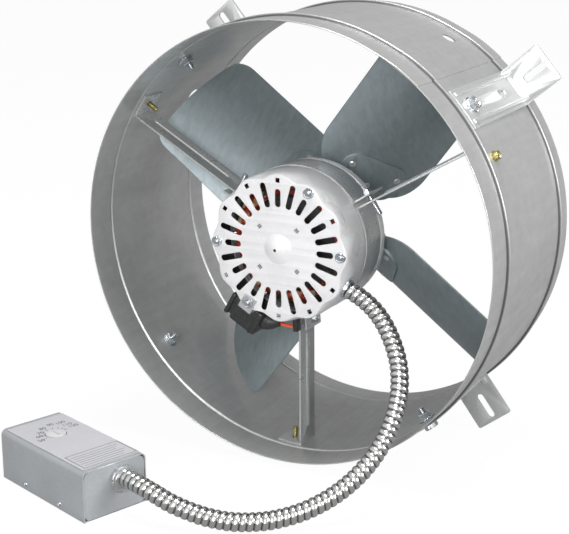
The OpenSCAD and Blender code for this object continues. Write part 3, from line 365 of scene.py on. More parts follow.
def weighted(value, weight, before=0.0):
    """A value's swing about a half, times its weight, on top of what came before."""
    return figure(g, "MULTIPLY_ADD", figure(g, "SUBTRACT", value, 0.5), weight, before)


tint = weighted(grey, given["Crystals"])
tint = weighted(cloud, given["Clouds"], tint)
tint = weighted(scuff, given["Scuffs"], tint)
rough = figure(g, "MULTIPLY_ADD", tint, -0.35, given["Base Roughness"])
put(g, result["Tint"], figure(g, "ADD", tint, 1.0))
put(g, result["Roughness"], weighted(grain, 0.10, rough))
put(g, result["Height"], weighted(scuff, 0.6, weighted(grain, 0.5, weighted(cloud, 1.2))))


def zinc_sheet(name, colour, metallic, roughness, crystals, clouds, scuffs, bump):
    """Zinc coated steel in one of its shades."""
    material, tree = new_finish(name)
    surface = add(tree, "ShaderNodeGroup", node_tree=zinc_surface, in_Crystals=crystals,
                  in_Clouds=clouds, in_Scuffs=scuffs, in_Base_Roughness=roughness).outputs
    paint = mixed(tree, 1.0, colour, surface["Tint"], "MULTIPLY")
    skinned(tree, paint, surface["Roughness"], surface["Height"], bump, metallic, step=0.002)
    return material


def groove_painted_shade(tree, colour):
    """Painted shade: darkens the grooves between the ribs by their depth."""
    depth = add(tree, "ShaderNodeAttribute", attribute_name="groove").outputs["Fac"]
    return mixed(tree, 1.0, colour, ramp(tree, depth, 0.22, 0.85, 1.0, 0.08), "MULTIPLY")


conduit_finish = zinc_sheet("bright_strip", (0.74, 0.74, 0.73), 1.0, 0.17, 0.03, 0.12, 0.10, 0.03)
# Painted shade darkens the grooves between the ribs.
repaint(conduit_finish, groove_painted_shade)
conduit = run_tree("conduit", line_curve, conduit_tree, {"Finish": conduit_finish})
belongs(conduit, "fan_frame", "flexible_conduit")

# Drum
# The drum is one galvanised sheet rolled into a tube, 375 mm across, with a bead rolled
# outward near each rim and a spot welded lap along its length. Two round holes near the
# outlet take the supply wires.

DRUM_BORE = 0.1865
DRUM_SHEET = 0.001
DRUM_DEPTH = 0.185
RIM_ROUND = 0.0003
BEAD_PLACES = (0.023, 0.154)
BEAD_HALF = 0.0030
BEAD_RISE = 0.0025
LAP_EDGE = 49.5
LAP_END = 56.5
LAP_FADE = 6
LAP_STEP = 0.0008
WIRING_HOLES = ((60.5, 0.049), (148.3, 0.057))
WIRING_HOLE_R = 0.00625


def polar(r, angle):
    """A point at a radius and an angle in degrees."""
    return r * cos(radians(angle)), r * sin(radians(angle))


def round_place(angle, depth, r):
    """A point by its angle seen from the inlet, its depth from the outlet rim and radius."""
    x, z = polar(r, angle)
    return Vector((x, -depth, z))


def closed_grid(bm, rows, wrap_rows=True):
    """Quads between rows of vertices, each row a closed list of points."""
    verts = [[bm.verts.new(p) for p in row] for row in rows]
    following = verts[1:] + verts[:1] if wrap_rows else verts[1:]
    for here, there in zip(verts, following):
        for k in range(len(here)):
            m = (k + 1) % len(here)
            bm.faces.new((here[k], here[m], there[m], there[k]))
    return verts


def drum_height(depth, half):
    """How far the sheet is pushed out at a depth."""
    for place in BEAD_PLACES:
        x = abs(depth - place) / half
        if x < 1:
            return BEAD_RISE * (0.5 + 0.5 * cos(pi * x)) ** 1.3
    return 0.0


def outward(bm, frame=Matrix()):
    """Turns the faces of a bmesh outward and moves it to its frame."""
    bmesh.ops.recalc_face_normals(bm, faces=bm.faces)
    bm.transform(frame)
    return bm


def smooth_mesh(name, bm, crease):
    """A smooth mesh from a bmesh, sharp along edges past a crease angle in degrees."""
    mesh = bpy.data.meshes.new(name)
    bm.to_mesh(mesh)
    bm.free()
    mesh.shade_smooth()
    mesh.set_sharp_from_angle(angle=radians(crease))
    return mesh


def mesh_piece(name, bm, finish, replaced=None, crease=35, body="fan_frame"):
    piece = linked(name, smooth_mesh(name, bm, crease))
    piece.data.materials.append(finish)
    return belongs(piece, body, replaced)


def bake_modifiers(piece, crease):
    """Applies what modifiers a piece has, so that its mesh is final."""
    mesh = evaluated_mesh(piece)
    piece.modifiers.clear()
    piece.data = mesh
    mesh.set_sharp_from_angle(angle=radians(crease))


def cut_hole(piece, frame, r, depth, segments, crease):
    """Cuts a round hole whose axis is the frame's z."""
    punch = bmesh.new()
    bmesh.ops.create_cone(punch, cap_ends=True, segments=segments, radius1=r, radius2=r,
                          depth=depth, matrix=frame)
    tool = linked("punch", bpy.data.meshes.new("punch"))
    punch.to_mesh(tool.data)
    punch.free()
    hole = piece.modifiers.new("hole", "BOOLEAN")
    hole.operation = "DIFFERENCE"
    hole.solver = "EXACT"
    hole.object = tool
    bake_modifiers(piece, crease)
    bpy.data.objects.remove(tool)


def window(tree, value, middle, half, soft):
    """1 while a value is near its middle, falling to 0 past the half width."""
    away = figure(tree, "ABSOLUTE", figure(tree, "SUBTRACT", value, middle))
    return ramp(tree, away, half - soft, half + soft, 1.0, 0.0)


def lap_lift(angle):
    """How far the lapped edge of the sheet stands out at an angle."""
    if angle < LAP_EDGE or angle > LAP_END + LAP_FADE:
        return 0.0
    return LAP_STEP * min(1, 1 - (angle - LAP_END) / LAP_FADE)


def bead_flank_shade(tree, colour):
    """Painted shade: dark lines along the outside of the beads, on the side towards the inlet,
    standing in for each bead's shaded flank.
    """
    at = object_place(tree)
    depth = add(tree, "ShaderNodeSeparateXYZ", at).outputs["Y"]
    from_axis = add(tree, "ShaderNodeVectorMath", at, (1, 0, 1), operation="MULTIPLY")
    radius = add(tree, "ShaderNodeVectorMath", from_axis, operation="LENGTH").outputs["Value"]
    flank_shade_bands = [window(tree, depth, -place - 0.0018, 0.0009, 0.0005) for place in BEAD_PLACES]
    outer = figure(tree, "GREATER_THAN", radius, DRUM_BORE + 0.0009)
    flank_shade = figure(tree, "MULTIPLY", figure(tree, "ADD", *flank_shade_bands), outer)
    return mixed(tree, 1.0, colour, ramp(tree, flank_shade, 0.0, 1.0, 1.0, 0.22), "MULTIPLY")


depths = {0.0, 0.0004, DRUM_DEPTH - 0.0004, DRUM_DEPTH}
for place in BEAD_PLACES:
    depths.update(place + BEAD_HALF * i / 9 for i in range(-9, 10))
depths.update(0.03 + 0.02 * i for i in range(1, 6))
outside = []
inside = []
for d in sorted(depths):
    rounding = RIM_ROUND if d in (0.0, DRUM_DEPTH) else 0
    outside.append((d, DRUM_BORE + DRUM_SHEET + drum_height(d, BEAD_HALF) - rounding))
    inside.append((d, DRUM_BORE + drum_height(d, BEAD_HALF - 0.0006) + rounding))
angles = sorted({float(a) for a in range(360)} | {LAP_EDGE + a for a in (-0.3, -0.06, 0, 0.2)})
bm = bmesh.new()
closed_grid(bm, [[round_place(a, d, r + lap_lift(a)) for d, r in outside]
                 + [round_place(a, d, r) for d, r in reversed(inside)] for a in angles])
galvanised = zinc_sheet("galvanised_sheet", (0.52, 0.525, 0.52), 0.60, 0.36, 0.06, 0.46, 0.30,
                        0.05)
# Painted shade along the beads' flanks darkens the drum's sheet there.
repaint(galvanised, bead_flank_shade)
drum = mesh_piece("drum", outward(bm), galvanised, "drum_shell", 28)
for angle, depth in WIRING_HOLES:
    out_way = round_place(angle, 0, 1).to_track_quat("Z", "Y").to_matrix().to_4x4()
    cut_hole(drum, Matrix.Translation(round_place(angle, depth, DRUM_BORE)) @ out_way,
             WIRING_HOLE_R, 0.02, 48, 28)

# Wall brackets
# Four pressed angles of bright galvanised plate hold the drum to the wall. Each leg has
# two raised ribs and an oblong hole, and each flange an open slot and two gussets.

PRESSED_CREASE = 38


def pressed_copy(name, node, finish, body="fan_frame", edge=0.0003):
    """A CAD node's own shape with rounded edges, smooth curves and its real finish."""
    bm = bmesh.new()
    bm.from_mesh(nodes[node].data)
    bmesh.ops.remove_doubles(bm, verts=bm.verts, dist=2e-6)
    bmesh.ops.dissolve_degenerate(bm, dist=1e-6, edges=bm.edges)
    bmesh.ops.dissolve_limit(bm, angle_limit=radians(0.6), verts=bm.verts, edges=bm.edges)
    piece = mesh_piece(name, bm, finish, node, PRESSED_CREASE, body)
    bevel = piece.modifiers.new("edge", "BEVEL")
    bevel.width = edge
    bevel.segments = 2
    bevel.limit_method = "ANGLE"
    bevel.angle_limit = radians(50)
    bevel.harden_normals = False
    bake_modifiers(piece, PRESSED_CREASE)


bright_plate = zinc_sheet("bright_plate", (0.66, 0.67, 0.67), 0.66, 0.30, 0.04, 0.26, 0.20, 0.012)
for i in range(1, 5):
    pressed_copy(f"bracket_{i}", f"wall_bracket_{i}", bright_plate)

# Bracket bolts and nuts
# Bright zinc M6 bolts with serrated washer faces, one through each bracket's leg, with a
# serrated nut on the stud inside the drum.

BRACKET_ANGLES = (40, 130, 219, 307)
BRACKET_PLATE = 0.002
BOLT_DEPTH = 0.130
BOLT_R = 0.003
SERRATED_R = 0.0074
TOOTH_WAVE = 0.022
TEETH = 24
HEAD_FLATS = 0.011
HEX_POINTS = 36
DRUM_R = DRUM_BORE + DRUM_SHEET


def turned(bm, profile, sides, wave=0.0, teeth=0):
    """Adds a turned shape from its profile of (radius, height), with a wavy rim if asked.

    A ring on the axis is one point, and its faces are triangles."""
    rings = []
    for r, z in profile:
        ring = []
        for k in range(sides if r else 1):
            a = 2 * pi * k / sides
            wavy = r * (1 + wave * cos(teeth * a))
            ring.append(bm.verts.new((wavy * cos(a), wavy * sin(a), z)))
        rings.append(ring)
    for low, high in zip(rings, rings[1:]):
        for k in range(sides):
            corners = [ring[i % len(ring)]
                       for ring, i in ((low, k), (low, k + 1), (high, k + 1), (high, k))]
            bm.faces.new(list(dict.fromkeys(corners)))


def hexagon_head(bm, flats, low_z, high_z, cup=0.0):
    """A hexagon with a turned chamfer on its top, and a shallow cup in it if asked."""
    side = radians(60)
    turns = [2 * pi * k / HEX_POINTS for k in range(HEX_POINTS)]
    radii = [min(flats / 2 / cos(a % side - side / 2), flats / sqrt(3) * 0.985) for a in turns]
    rings = [(radii, low_z), (radii, high_z - 0.07 * flats),
             ([min(r, flats * 0.5) for r in radii], high_z)]
    if cup:
        for share, z in ((0.40, high_z), (0.33, high_z - cup)):
            rings.append(([flats * share] * HEX_POINTS, z))
    verts = closed_grid(bm, [[(r * cos(a), r * sin(a), z) for r, a in zip(ring, turns)]
                             for ring, z in rings], False)
    bm.faces.new(verts[-1])
    bm.faces.new(verts[0][::-1])


def threaded(bm, r, low_z, high_z, pitch, sides=16):
    """A thread's look: a turned bar whose radius steps in and out with the pitch."""
    profile = [(0, low_z), (r * 0.7, low_z)]
    z = low_z + pitch * 0.4
    while z < high_z - pitch:
        profile += [(r * 0.74, z), (r, z + pitch * 0.4), (r, z + pitch * 0.55)]
        z += pitch
    turned(bm, profile + [(r * 0.9, high_z), (0, high_z)], sides)


# Puts one part at each point, stood along the point's axis and turned about it at random.
placing, given, result = new_group("fastener_places", "GeometryNodeTree", [
    ("Places", "Geometry"), ("Part", "Object"), ("Size", "Float", 1.0),
    ("Turn Spread", "Float", 0.6), ("Seed", "Int", 3), ("Finish", "Material")],
    [("Fasteners", "Geometry")])
t = placing
part = add(t, "GeometryNodeObjectInfo", in_Object=given["Part"])
axis = add(t, "GeometryNodeInputNamedAttribute", data_type="FLOAT_VECTOR", in_Name="axis")
stood = add(t, "FunctionNodeAlignRotationToVector", axis="Z", in_Vector=axis)
least = figure(t, "MULTIPLY", given["Turn Spread"], -1.0)
spin = add(t, "FunctionNodeRandomValue", data_type="FLOAT", in_2=least,
           in_3=given["Turn Spread"], in_Seed=given["Seed"])
about = add(t, "ShaderNodeCombineXYZ", in_Z=spin.outputs[1])
turned_by = add(t, "FunctionNodeRotateRotation", stood, about, rotation_space="LOCAL")
placed = add(t, "GeometryNodeInstanceOnPoints", in_Points=given["Places"],
             in_Instance=part.outputs["Geometry"], in_Rotation=turned_by, in_Scale=given["Size"])
joined = add(t, "GeometryNodeRealizeInstances", placed)
put(t, result["Fasteners"], add(t, "GeometryNodeSetMaterial", in_Geometry=joined,
                                in_Material=given["Finish"]))


def fasteners(name, build, places, finish, replaced, spread=0.6, seed=3, body="fan_frame"):
    """One built part at each (place, axis), as one piece on a body."""
    bm = bmesh.new()
    build(bm)
    part = linked(name + "_part", smooth_mesh(name + "_part", outward(bm), 30))
    points = bpy.data.meshes.new(name + "_places")
    points.from_pydata([tuple(p) for p, _ in places], [], [])
    axis = points.attributes.new("axis", "FLOAT_VECTOR", "POINT")
    for item, (_, way) in zip(axis.data, places):
        item.vector = way
    piece = run_tree(name, points, placing, {"Part": part, "Turn Spread": spread, "Seed": seed,
                                             "Finish": finish})
    bpy.data.objects.remove(part)
    belongs(piece, body, replaced)


def ring_places(angles, depth, r, way=1):
    """A place on a ring and its outward axis, or inward with -1, at each angle."""
    return [(round_place(a, depth, r), way * round_place(a, 0, 1)) for a in angles]


def build_bracket_bolt(bm):
    turned(bm, [(0, -0.0002), (0.0069, -0.0002), (SERRATED_R, 0.0003), (SERRATED_R, 0.0009),
                (0.0062, 0.0013), (0, 0.0013)], 72, TOOTH_WAVE, TEETH)
    hexagon_head(bm, HEAD_FLATS, 0.0011, 0.0055, 0.0009)
    threaded(bm, BOLT_R, -0.0143, 0.0, 0.001)


def build_bracket_nut(bm):
    turned(bm, [(BOLT_R, 0.0), (0.0069, 0.0), (SERRATED_R, 0.0004), (SERRATED_R, 0.0010),
                (0.0062, 0.0013), (BOLT_R, 0.0013)], 72, TOOTH_WAVE, TEETH)
    corner = HEAD_FLATS * 0.5
    turned(bm, [(BOLT_R, 0.0012), (corner, 0.0012), (corner * 1.06, 0.0018),
                (corner * 1.06, 0.0052), (corner * 0.93, 0.0059), (BOLT_R * 1.15, 0.0059),
                (BOLT_R, 0.0054), (BOLT_R, 0.0012)], 6)


bright_zinc = zinc_sheet("bright_zinc", (0.70, 0.73, 0.76), 1.0, 0.24, 0.02, 0.20, 0.10, 0.05)
fasteners("bracket_bolt_set", build_bracket_bolt,
          ring_places(BRACKET_ANGLES, BOLT_DEPTH, DRUM_R + BRACKET_PLATE),
          bright_zinc, "bracket_bolts")
fasteners("bracket_nut_set", build_bracket_nut,
          ring_places(BRACKET_ANGLES, BOLT_DEPTH, sqrt(DRUM_BORE ** 2 - SERRATED_R ** 2), -1),
          bright_zinc, "bracket_nuts", seed=8)

# Motor arms
# Three galvanised strips on edge, each with a pressed rib, carry the motor. The outer end
# is a tab on the drum's wall, and the inner end is a third of the clamp band with an ear.

arm_steel = zinc_sheet("arm_steel", (0.64, 0.65, 0.65), 0.66, 0.30, 0.05, 0.30, 0.26, 0.05)
for i in range(1, 4):
    pressed_copy(f"arm_{i}", f"motor_arm_{i}", arm_steel, edge=0.00025)

# Arm and clamp screws
# Yellow zinc washer head screws: a short one through the drum into each tab, and a long
# one that pulls each ear of the clamp band towards the next arm.

ARM_ANGLES = (30, 150, 270)
ARM_DEPTH = 0.136
TAB_SCREW_ANGLE = 3.4
TAB_SCREW_LONG = 0.0116
EAR_GAP = 4.6
EAR_OUT = 0.0016
CLAMP_PLACE_R = 0.07243
CLAMP_SCREW_LONG = 0.020


def washer_screw(length):
    def build(bm):
        turned(bm, [(0, 0), (0.0042, 0), (0.0045, 0.0003), (0.0045, 0.0008), (0.0034, 0.0012),
                    (0, 0.0012)], 36)
        hexagon_head(bm, 0.0068, 0.0010, 0.0043, 0.0008)
        threaded(bm, 0.0024, -length, 0.0, 0.0017)
    return build


yellow_zinc = zinc_sheet("yellow_zinc", (0.46, 0.41, 0.17), 1.0, 0.32, 0.02, 0.50, 0.12, 0.05)
fasteners("arm_screw_set", washer_screw(TAB_SCREW_LONG),
          ring_places([a - TAB_SCREW_ANGLE for a in ARM_ANGLES], ARM_DEPTH, DRUM_R),
          yellow_zinc, "arm_end_screws", seed=5)
clamp_places = []
for a in ARM_ANGLES:
    side = round_place(a + EAR_GAP + 90, 0, 1)
    ear = round_place(a + EAR_GAP, ARM_DEPTH, CLAMP_PLACE_R)
    clamp_places.append((ear + side * EAR_OUT, side))
fasteners("clamp_screw_set", washer_screw(CLAMP_SCREW_LONG), clamp_places, bright_zinc,
          "clamp_screws", seed=6)

# Inlet end shield
# The motor's pressed steel end cover in white enamel. Twelve lobes stiffen its shoulder,
# and a ring of long and short slots, square holes and a centre dome are pressed into it.

FACE = 0.185
SHIELD_R = 0.0635
SHIELD_SKIRT = 0.033
BOLT_CIRCLE = 0.0577
DOME_R = 0.013
DOME_RISE = 0.0060
VENT_IN = 0.0352
VENT_W = 0.0052
VENT_SHORT = 0.0153
VENT_LONG = 0.0211
SQUARE_HOLE = 0.0038
SQUARE_ANGLES = (30, 90, 120, 150, 210, 270, 300, 330)
DIMPLE_AT = 0.0245
DIMPLE = 0.0040
PATCH_LAP = 0.0004
PATCH_Z = -0.0009
SHOULDER_ROUND = 0.0016
DARK_COLUMNS = 4
PLATE_BACK_Z = -0.0011
PLATE_BACK_R = 0.0566
PIT_R = 0.0012


def arc(x, y, r, start, turn, steps):
    """Points on an arc about (x, y), from a start angle through a turn, both in degrees."""
    ways = [polar(r, start + turn * k / steps) for k in range(steps + 1)]
    return [(x + dx, y + dy) for dx, dy in ways]


def turned_points(points, angle):
    c, s = polar(1, angle)
    return [(x * c - y * s, x * s + y * c) for x, y in points]


def stadium(start, length, width):
    r = width / 2
    return arc(start + r, 0, r, 90, 180, 8) + arc(start + length - r, 0, r, -90, 180, 8)


def disc(r, steps, x, y):
    return arc(x, y, r, 0, 360, steps)[:-1]


def rectangle(low_x, low_y, high_x, high_y, r=0.0):
    """The corners of a rectangle, rounded by arcs if a radius is given."""
    if not r:
        return [(low_x, low_y), (high_x, low_y), (high_x, high_y), (low_x, high_y)]
    return (arc(high_x - r, low_y + r, r, -90, 90, 6) + arc(high_x - r, high_y - r, r, 0, 90, 6)
            + arc(low_x + r, high_y - r, r, 90, 90, 6) + arc(low_x + r, low_y + r, r, 180, 90, 6))


def square(x, size, angle):
    """A square at a distance out from the centre, turned by an angle."""
    return turned_points(rectangle(x - size / 2, -size / 2, x + size / 2, size / 2), angle)


def mesh_from(name, data):
    """The mesh that a curve or a text makes."""
    holder = linked(name, data)
    mesh = evaluated_mesh(holder)
    bpy.data.objects.remove(holder)
    return mesh


def punched_plate(name, outlines, thickness, edge, frame=Matrix()):
    """A flat plate with holes and slightly rounded cut edges, its top at the frame's z = 0."""
    curve = bpy.data.curves.new(name, "CURVE")
    curve.dimensions = "2D"
    curve.fill_mode = "BOTH"
    for outline in outlines:
        spline = curve.splines.new("POLY")
        spline.points.add(len(outline) - 1)
        for point, (x, y) in zip(spline.points, outline):
            point.co = (x, y, 0, 1)
        spline.use_cyclic_u = True
    curve.extrude = thickness / 2 - edge
    curve.bevel_depth = edge
    curve.bevel_resolution = 1
    curve.offset = -edge
    mesh = mesh_from(name, curve)
    mesh.transform(frame @ Matrix.Translation((0, 0, -thickness / 2)))
    return mesh


def spun(angle):
    """Local z points out of the inlet, and local x at an angle as seen there."""
    return Matrix.Rotation(pi / 2, 4, "X") @ Matrix.Rotation(radians(angle), 4, "Z")


def lobe(angle):
    """1 on a lobe, where the flat face reaches furthest out, and 0 between two lobes."""
    return (0.5 + 0.5 * cos(radians(12 * angle))) ** 0.8


def flat_end(angle):
    return 0.0576 + 0.0037 * lobe(angle)


def flat_face(bm, points, z, shade=0):
    bm.faces.new([bm.verts.new((x, y, z)) for x, y in points]).material_index = shade


def slatted_patch(bm, x, hole, angle):
    """A small sunk square in painted shade, the shield's near black finish, with three raised
    white slats across it.
    """
    size = hole + PATCH_LAP
    flat_face(bm, square(x, size, angle), PATCH_Z, 1)
    for i in range(3):
        at = x - size / 2 + size * (i + 0.5) / 3
        slat = rectangle(at - size * 0.06, -size / 2, at + size * 0.06, size / 2)
        flat_face(bm, turned_points(slat, angle), PATCH_Z + 0.0004)


outlines = [[polar(flat_end(k) - 0.0004, k) for k in range(360)]]
for i in range(12):
    outlines.append(turned_points(stadium(VENT_IN, VENT_SHORT, VENT_W), 30 * i))
    outlines.append(turned_points(stadium(VENT_IN, VENT_LONG, VENT_W), 30 * i + 15))
for i in range(4):
    outlines.append(square(DIMPLE_AT, DIMPLE, 45 + 90 * i))
for angle in SQUARE_ANGLES:
    outlines.append(square(BOLT_CIRCLE, SQUARE_HOLE, angle))
bm = bmesh.new()
bm.from_mesh(punched_plate("shield_plate", outlines, 0.0012, 0.00025))
dome = [(0, -0.0004), (DOME_R, -0.0004), (DOME_R, 0.00003)]
for k in range(1, 16):
    t = 1 - k / 18
    dome.append((DOME_R * t, DOME_RISE * (1 - t ** 2) ** 1.35))
turned(bm, dome + [(0.0015, DOME_RISE * 0.985), (0.0012, DOME_RISE - 0.0006),
                   (0.0011, DOME_RISE - 0.0020), (0, DOME_RISE - 0.0021)], 72)
for i in range(4):
    slatted_patch(bm, DIMPLE_AT, DIMPLE, 45 + 90 * i)
for angle in (210, 270):
    slatted_patch(bm, BOLT_CIRCLE, SQUARE_HOLE, angle)
turned(bm, [(0.0115, -0.0011), (0.0115, -0.0270), (0.0095, -0.0270), (0.0095, -0.0011),
            (0.0115, -0.0011)], 48)
rows = []
for k in range(360):
    flat = flat_end(k)
    deep = 0.020 - 0.013 * lobe(k)
    line = [(flat - 0.0005, -0.00003), (flat, 0.0)]
    for j in range(1, 6):
        q = radians(75) * j / 5
        line.append((flat + SHOULDER_ROUND * sin(q), -SHOULDER_ROUND * (1 - cos(q))))
    r1, z1 = line[-1]
    for j in range(1, 13):
        t = j / 12
        line.append((r1 + (SHIELD_R - r1) * t * (2 - t), z1 - (deep + z1) * t))
    line += [(SHIELD_R, -0.0225), (SHIELD_R, -SHIELD_SKIRT + 0.0003),
             (SHIELD_R - 0.0003, -SHIELD_SKIRT), (SHIELD_R - 0.0010, -SHIELD_SKIRT),
             (SHIELD_R - 0.0012, -SHIELD_SKIRT + 0.0003), (SHIELD_R - 0.0012, -deep - 0.001),
             (flat - 0.0008, -0.0014), (flat - 0.0005, -0.0012)]
    rows.append([(*polar(r, k), z) for r, z in line])
shoulder = len(bm.faces)
closed_grid(bm, rows)
# Painted shade: the plate's back, the inside of the skirt and the pit in the dome take a near
# black finish, for the shade inside the motor.
for n, face in enumerate(bm.faces):
    middle = face.calc_center_median()
    if n >= shoulder:
        dark = (n - shoulder) % len(line) >= len(line) - DARK_COLUMNS
    else:
        dark = middle.z < PLATE_BACK_Z and middle.xy.length < PLATE_BACK_R
    if dark or (middle.xy.length < PIT_R and middle.z < DOME_RISE - 0.0005):
        face.material_index = 1
bmesh.ops.remove_doubles(bm, verts=bm.verts, dist=1e-7)
bmesh.ops.recalc_face_normals(bm, faces=bm.faces)
for face in bm.faces:
    if face.normal.z < 0 and all(edge.is_boundary for edge in face.edges):
        face.normal_flip()
bm.transform(Matrix.Translation((0, -FACE, 0)) @ spun(0))


def painted(name, colour, roughness, speckle=0.04, bump=0.02, coat=0.3, mottle=0.05):
    """Sprayed enamel: a little orange peel, faint dust and a thin gloss."""
    material, tree = new_finish(name)
    at = object_place(tree)
    peel = noise(tree, at, 420.0, 3.0)
    cloud = noise(tree, at, 22.0, 4.0)
    tint = ramp(tree, cloud, 0.3, 0.7, 1.0 - mottle, 1.0 + mottle)
    dots = ramp(tree, peel, 0.3, 0.7, 1.0 - speckle, 1.0)
    paint = mixed(tree, 1.0, colour, figure(tree, "MULTIPLY", tint, dots), "MULTIPLY")
    rough = ramp(tree, cloud, 0.3, 0.7, roughness - 0.05, roughness + 0.05)
    skinned(tree, paint, rough, peel, bump, 0.0, coat, 0.15)
    return material


def worn_patch(tree, colour):
    """Scuffed enamel on the shield's shoulder at the upper right."""
    at = object_place(tree)
    axes = add(tree, "ShaderNodeSeparateXYZ", at).outputs
    bearing = figure(tree, "ARCTAN2", axes["Z"], axes["X"])
    on_side = window(tree, bearing, radians(35), radians(17), radians(6))
    on_depth = window(tree, axes["Y"], -0.1785, 0.0038, 0.0015)
    patchy = ramp(tree, noise(tree, at, 1.0, 3.0, (160.0, 700.0, 160.0)), 0.42, 0.62)
    worn = figure(tree, "MULTIPLY", figure(tree, "MULTIPLY", on_side, on_depth), patchy)
    return mixed(tree, figure(tree, "MULTIPLY", worn, 0.5), colour, (0.30, 0.29, 0.27))


white_enamel = painted("white_enamel", (0.73, 0.73, 0.74), 0.3)
repaint(white_enamel, worn_patch)
shield = mesh_piece("shield_inlet", bm, white_enamel, "inlet_end_shield", 40)
# A near black finish that is painted shade for the dark inside of the motor.
shield_painted_shade = painted("shield_painted_shade", (0.035, 0.035, 0.037), 0.6, 0.2, 0.1, 0.0, 0.2)
shield.data.materials.append(shield_painted_shade)

# Motor case and core
# The bare steel case behind the white shield, with the dark stack of laminations in it,
# bronze sleeve bearings, and the ground shaft with the rotor and its cast end rings.


def dress(finish, *names):
    """Gives CAD nodes their real finish."""
    for name in names:
        for place in nodes[name].material_slots:
            place.material = finish


def grained(name, colour, other, roughness, metallic, size, bump=0.05, coat=0.0, along=None):
    """Two shades in a grain, which can have another size along the drum's axis."""
    material, tree = new_finish(name)
    grain = noise(tree, object_place(tree), 1.0, 4.0, (size, along or size, size),
                  in_Roughness=0.6)
    tone = mixed(tree, ramp(tree, grain, 0.34, 0.66), colour, other)
    rough = ramp(tree, grain, 0.3, 0.7, roughness - 0.06, roughness + 0.06)
    skinned(tree, tone, rough, grain, bump, metallic, coat)
    return material


case_steel = zinc_sheet("case_steel", (0.84, 0.84, 0.84), 0.40, 0.24, 0.03, 0.34, 0.26, 0.04)
laminations = grained("laminations", (0.07, 0.07, 0.075), (0.17, 0.165, 0.16), 0.5, 0.6, 60.0,
                      0.2, along=2200.0)
bronze = grained("sintered_bronze", (0.42, 0.27, 0.12), (0.56, 0.39, 0.20), 0.45, 0.9, 700.0)
ground_steel = grained("ground_steel", (0.46, 0.47, 0.49), (0.60, 0.61, 0.63), 0.22, 1.0, 300.0,
                       0.02, along=1500.0)
cast_metal = grained("cast_aluminium", (0.52, 0.53, 0.54), (0.68, 0.69, 0.70), 0.45, 1.0, 350.0,
                     0.12)
dress(case_steel, "motor_shell", "outlet_end_shield")
# The rotor's aluminium cage takes the dark lamination finish too: painted shade for the dark
# inside of the motor.
dress(laminations, "stator_core", "rotor_core", "rotor_cage")
dress(bronze, "inlet_bearing", "outlet_bearing", "thrust_collars")
dress(ground_steel, "motor_shaft")

# Stator windings
# Bundles of varnished red wire bulge out of both ends of the laminations, one bulge for
# each slot, with straight runs of wire through the slots between the two ends.

WINDING_IN = 0.0410
WINDING_OUT = 0.0537
WINDING_BULGES = 18
WINDING_SIDES = 54
STRANDS = 9


def winding_end(bm, low, high):
    """A ring of wound wire between two depths, with a bulge for each slot."""
    rows = []
    for k in range(360):
        a = radians(k)
        bulge = 1 - 0.22 * (1 - abs(sin(WINDING_BULGES / 2 * a))) ** 2
        row = []
        for j in range(WINDING_SIDES):
            p = 2 * pi * j / WINDING_SIDES
            swell = bulge * (0.965 + 0.035 * cos(STRANDS * p + 5 * a + 1.4 * sin(7 * a))) / 2
            x = abs(cos(p)) ** 0.6 * (1 if cos(p) > 0 else -1)
            z = abs(sin(p)) ** 0.6 * (1 if sin(p) > 0 else -1)
            r = (WINDING_IN + WINDING_OUT) / 2 + (WINDING_OUT - WINDING_IN) * x * swell
            row.append((*polar(r, k), (low + high) / 2 + (high - low) * z * swell))
        rows.append(row)
    closed_grid(bm, rows)


def dark_patches_and_painted_highlights(tree, colour):
    """Dark patches, and pale tan patches that are painted highlights on the varnished wire."""
    patches = noise(tree, object_place(tree), 95.0, 3.0)
    dark = mixed(tree, ramp(tree, patches, 0.50, 0.56), colour, (0.05, 0.055, 0.035))
    return mixed(tree, ramp(tree, patches, 0.42, 0.36), dark, (0.85, 0.60, 0.34))


bm = bmesh.new()
winding_end(bm, 0.150, 0.165)
winding_end(bm, 0.113, 0.120)
for i in range(WINDING_BULGES):
    turn = Matrix.Rotation(2 * pi * (i + 0.5) / WINDING_BULGES, 4, "Z")
    run = Matrix.Translation((0.0449, 0, 0.135)) @ Matrix.Diagonal((0.0078, 0.0028, 0.037, 1))
    bmesh.ops.create_cube(bm, size=1.0, matrix=turn @ run)
wire = grained("winding_wire", (0.34, 0.022, 0.012), (0.78, 0.075, 0.03), 0.28, 0.0, 260.0,
               0.1, 0.5)
# The pale tan patches on the wire are painted highlights.
repaint(wire, dark_patches_and_painted_highlights)
mesh_piece("windings", outward(bm, spun(0)), wire, "stator_windings", 60)

# Through bolts and nuts
# Four long bright zinc bolts hold the two end shields together, with their heads at the
# back and a hexagon nut with a washer face over each threaded end on the white face.

THROUGH_ANGLES = (0, 60, 180, 240)
THROUGH_BACK = 0.110
THROUGH_R = 0.002
THROUGH_FLATS = 0.008


def build_through_bolt(bm):
    hexagon_head(bm, THROUGH_FLATS, -0.0024, -0.00005)
    threaded(bm, THROUGH_R, -0.0002, 0.0796, 0.0008, 14)


def build_through_nut(bm):
    turned(bm, [(0, 0.0), (0.0043, 0.0), (0.0045, 0.0002), (0.0045, 0.0006), (0.0040, 0.0008),
                (0, 0.0008)], 36)
    hexagon_head(bm, THROUGH_FLATS, 0.0007, 0.0032, 0.0003)


for name, build, depth, replaced, spread, seed in (
        ("through_bolt_set", build_through_bolt, THROUGH_BACK, "through_bolts", 0.0, 2),
        ("through_nut_set", build_through_nut, FACE, "through_bolt_nuts", 0.5, 4)):
    places = [(round_place(a, depth, BOLT_CIRCLE), (0, -1, 0)) for a in THROUGH_ANGLES]
    fasteners(name, build, places, bright_zinc, replaced, spread, seed)

# Run capacitor
# A black moulded box beside the motor with a narrower capped block at its upper end. A
# galvanised plate under one through bolt's nut holds it.

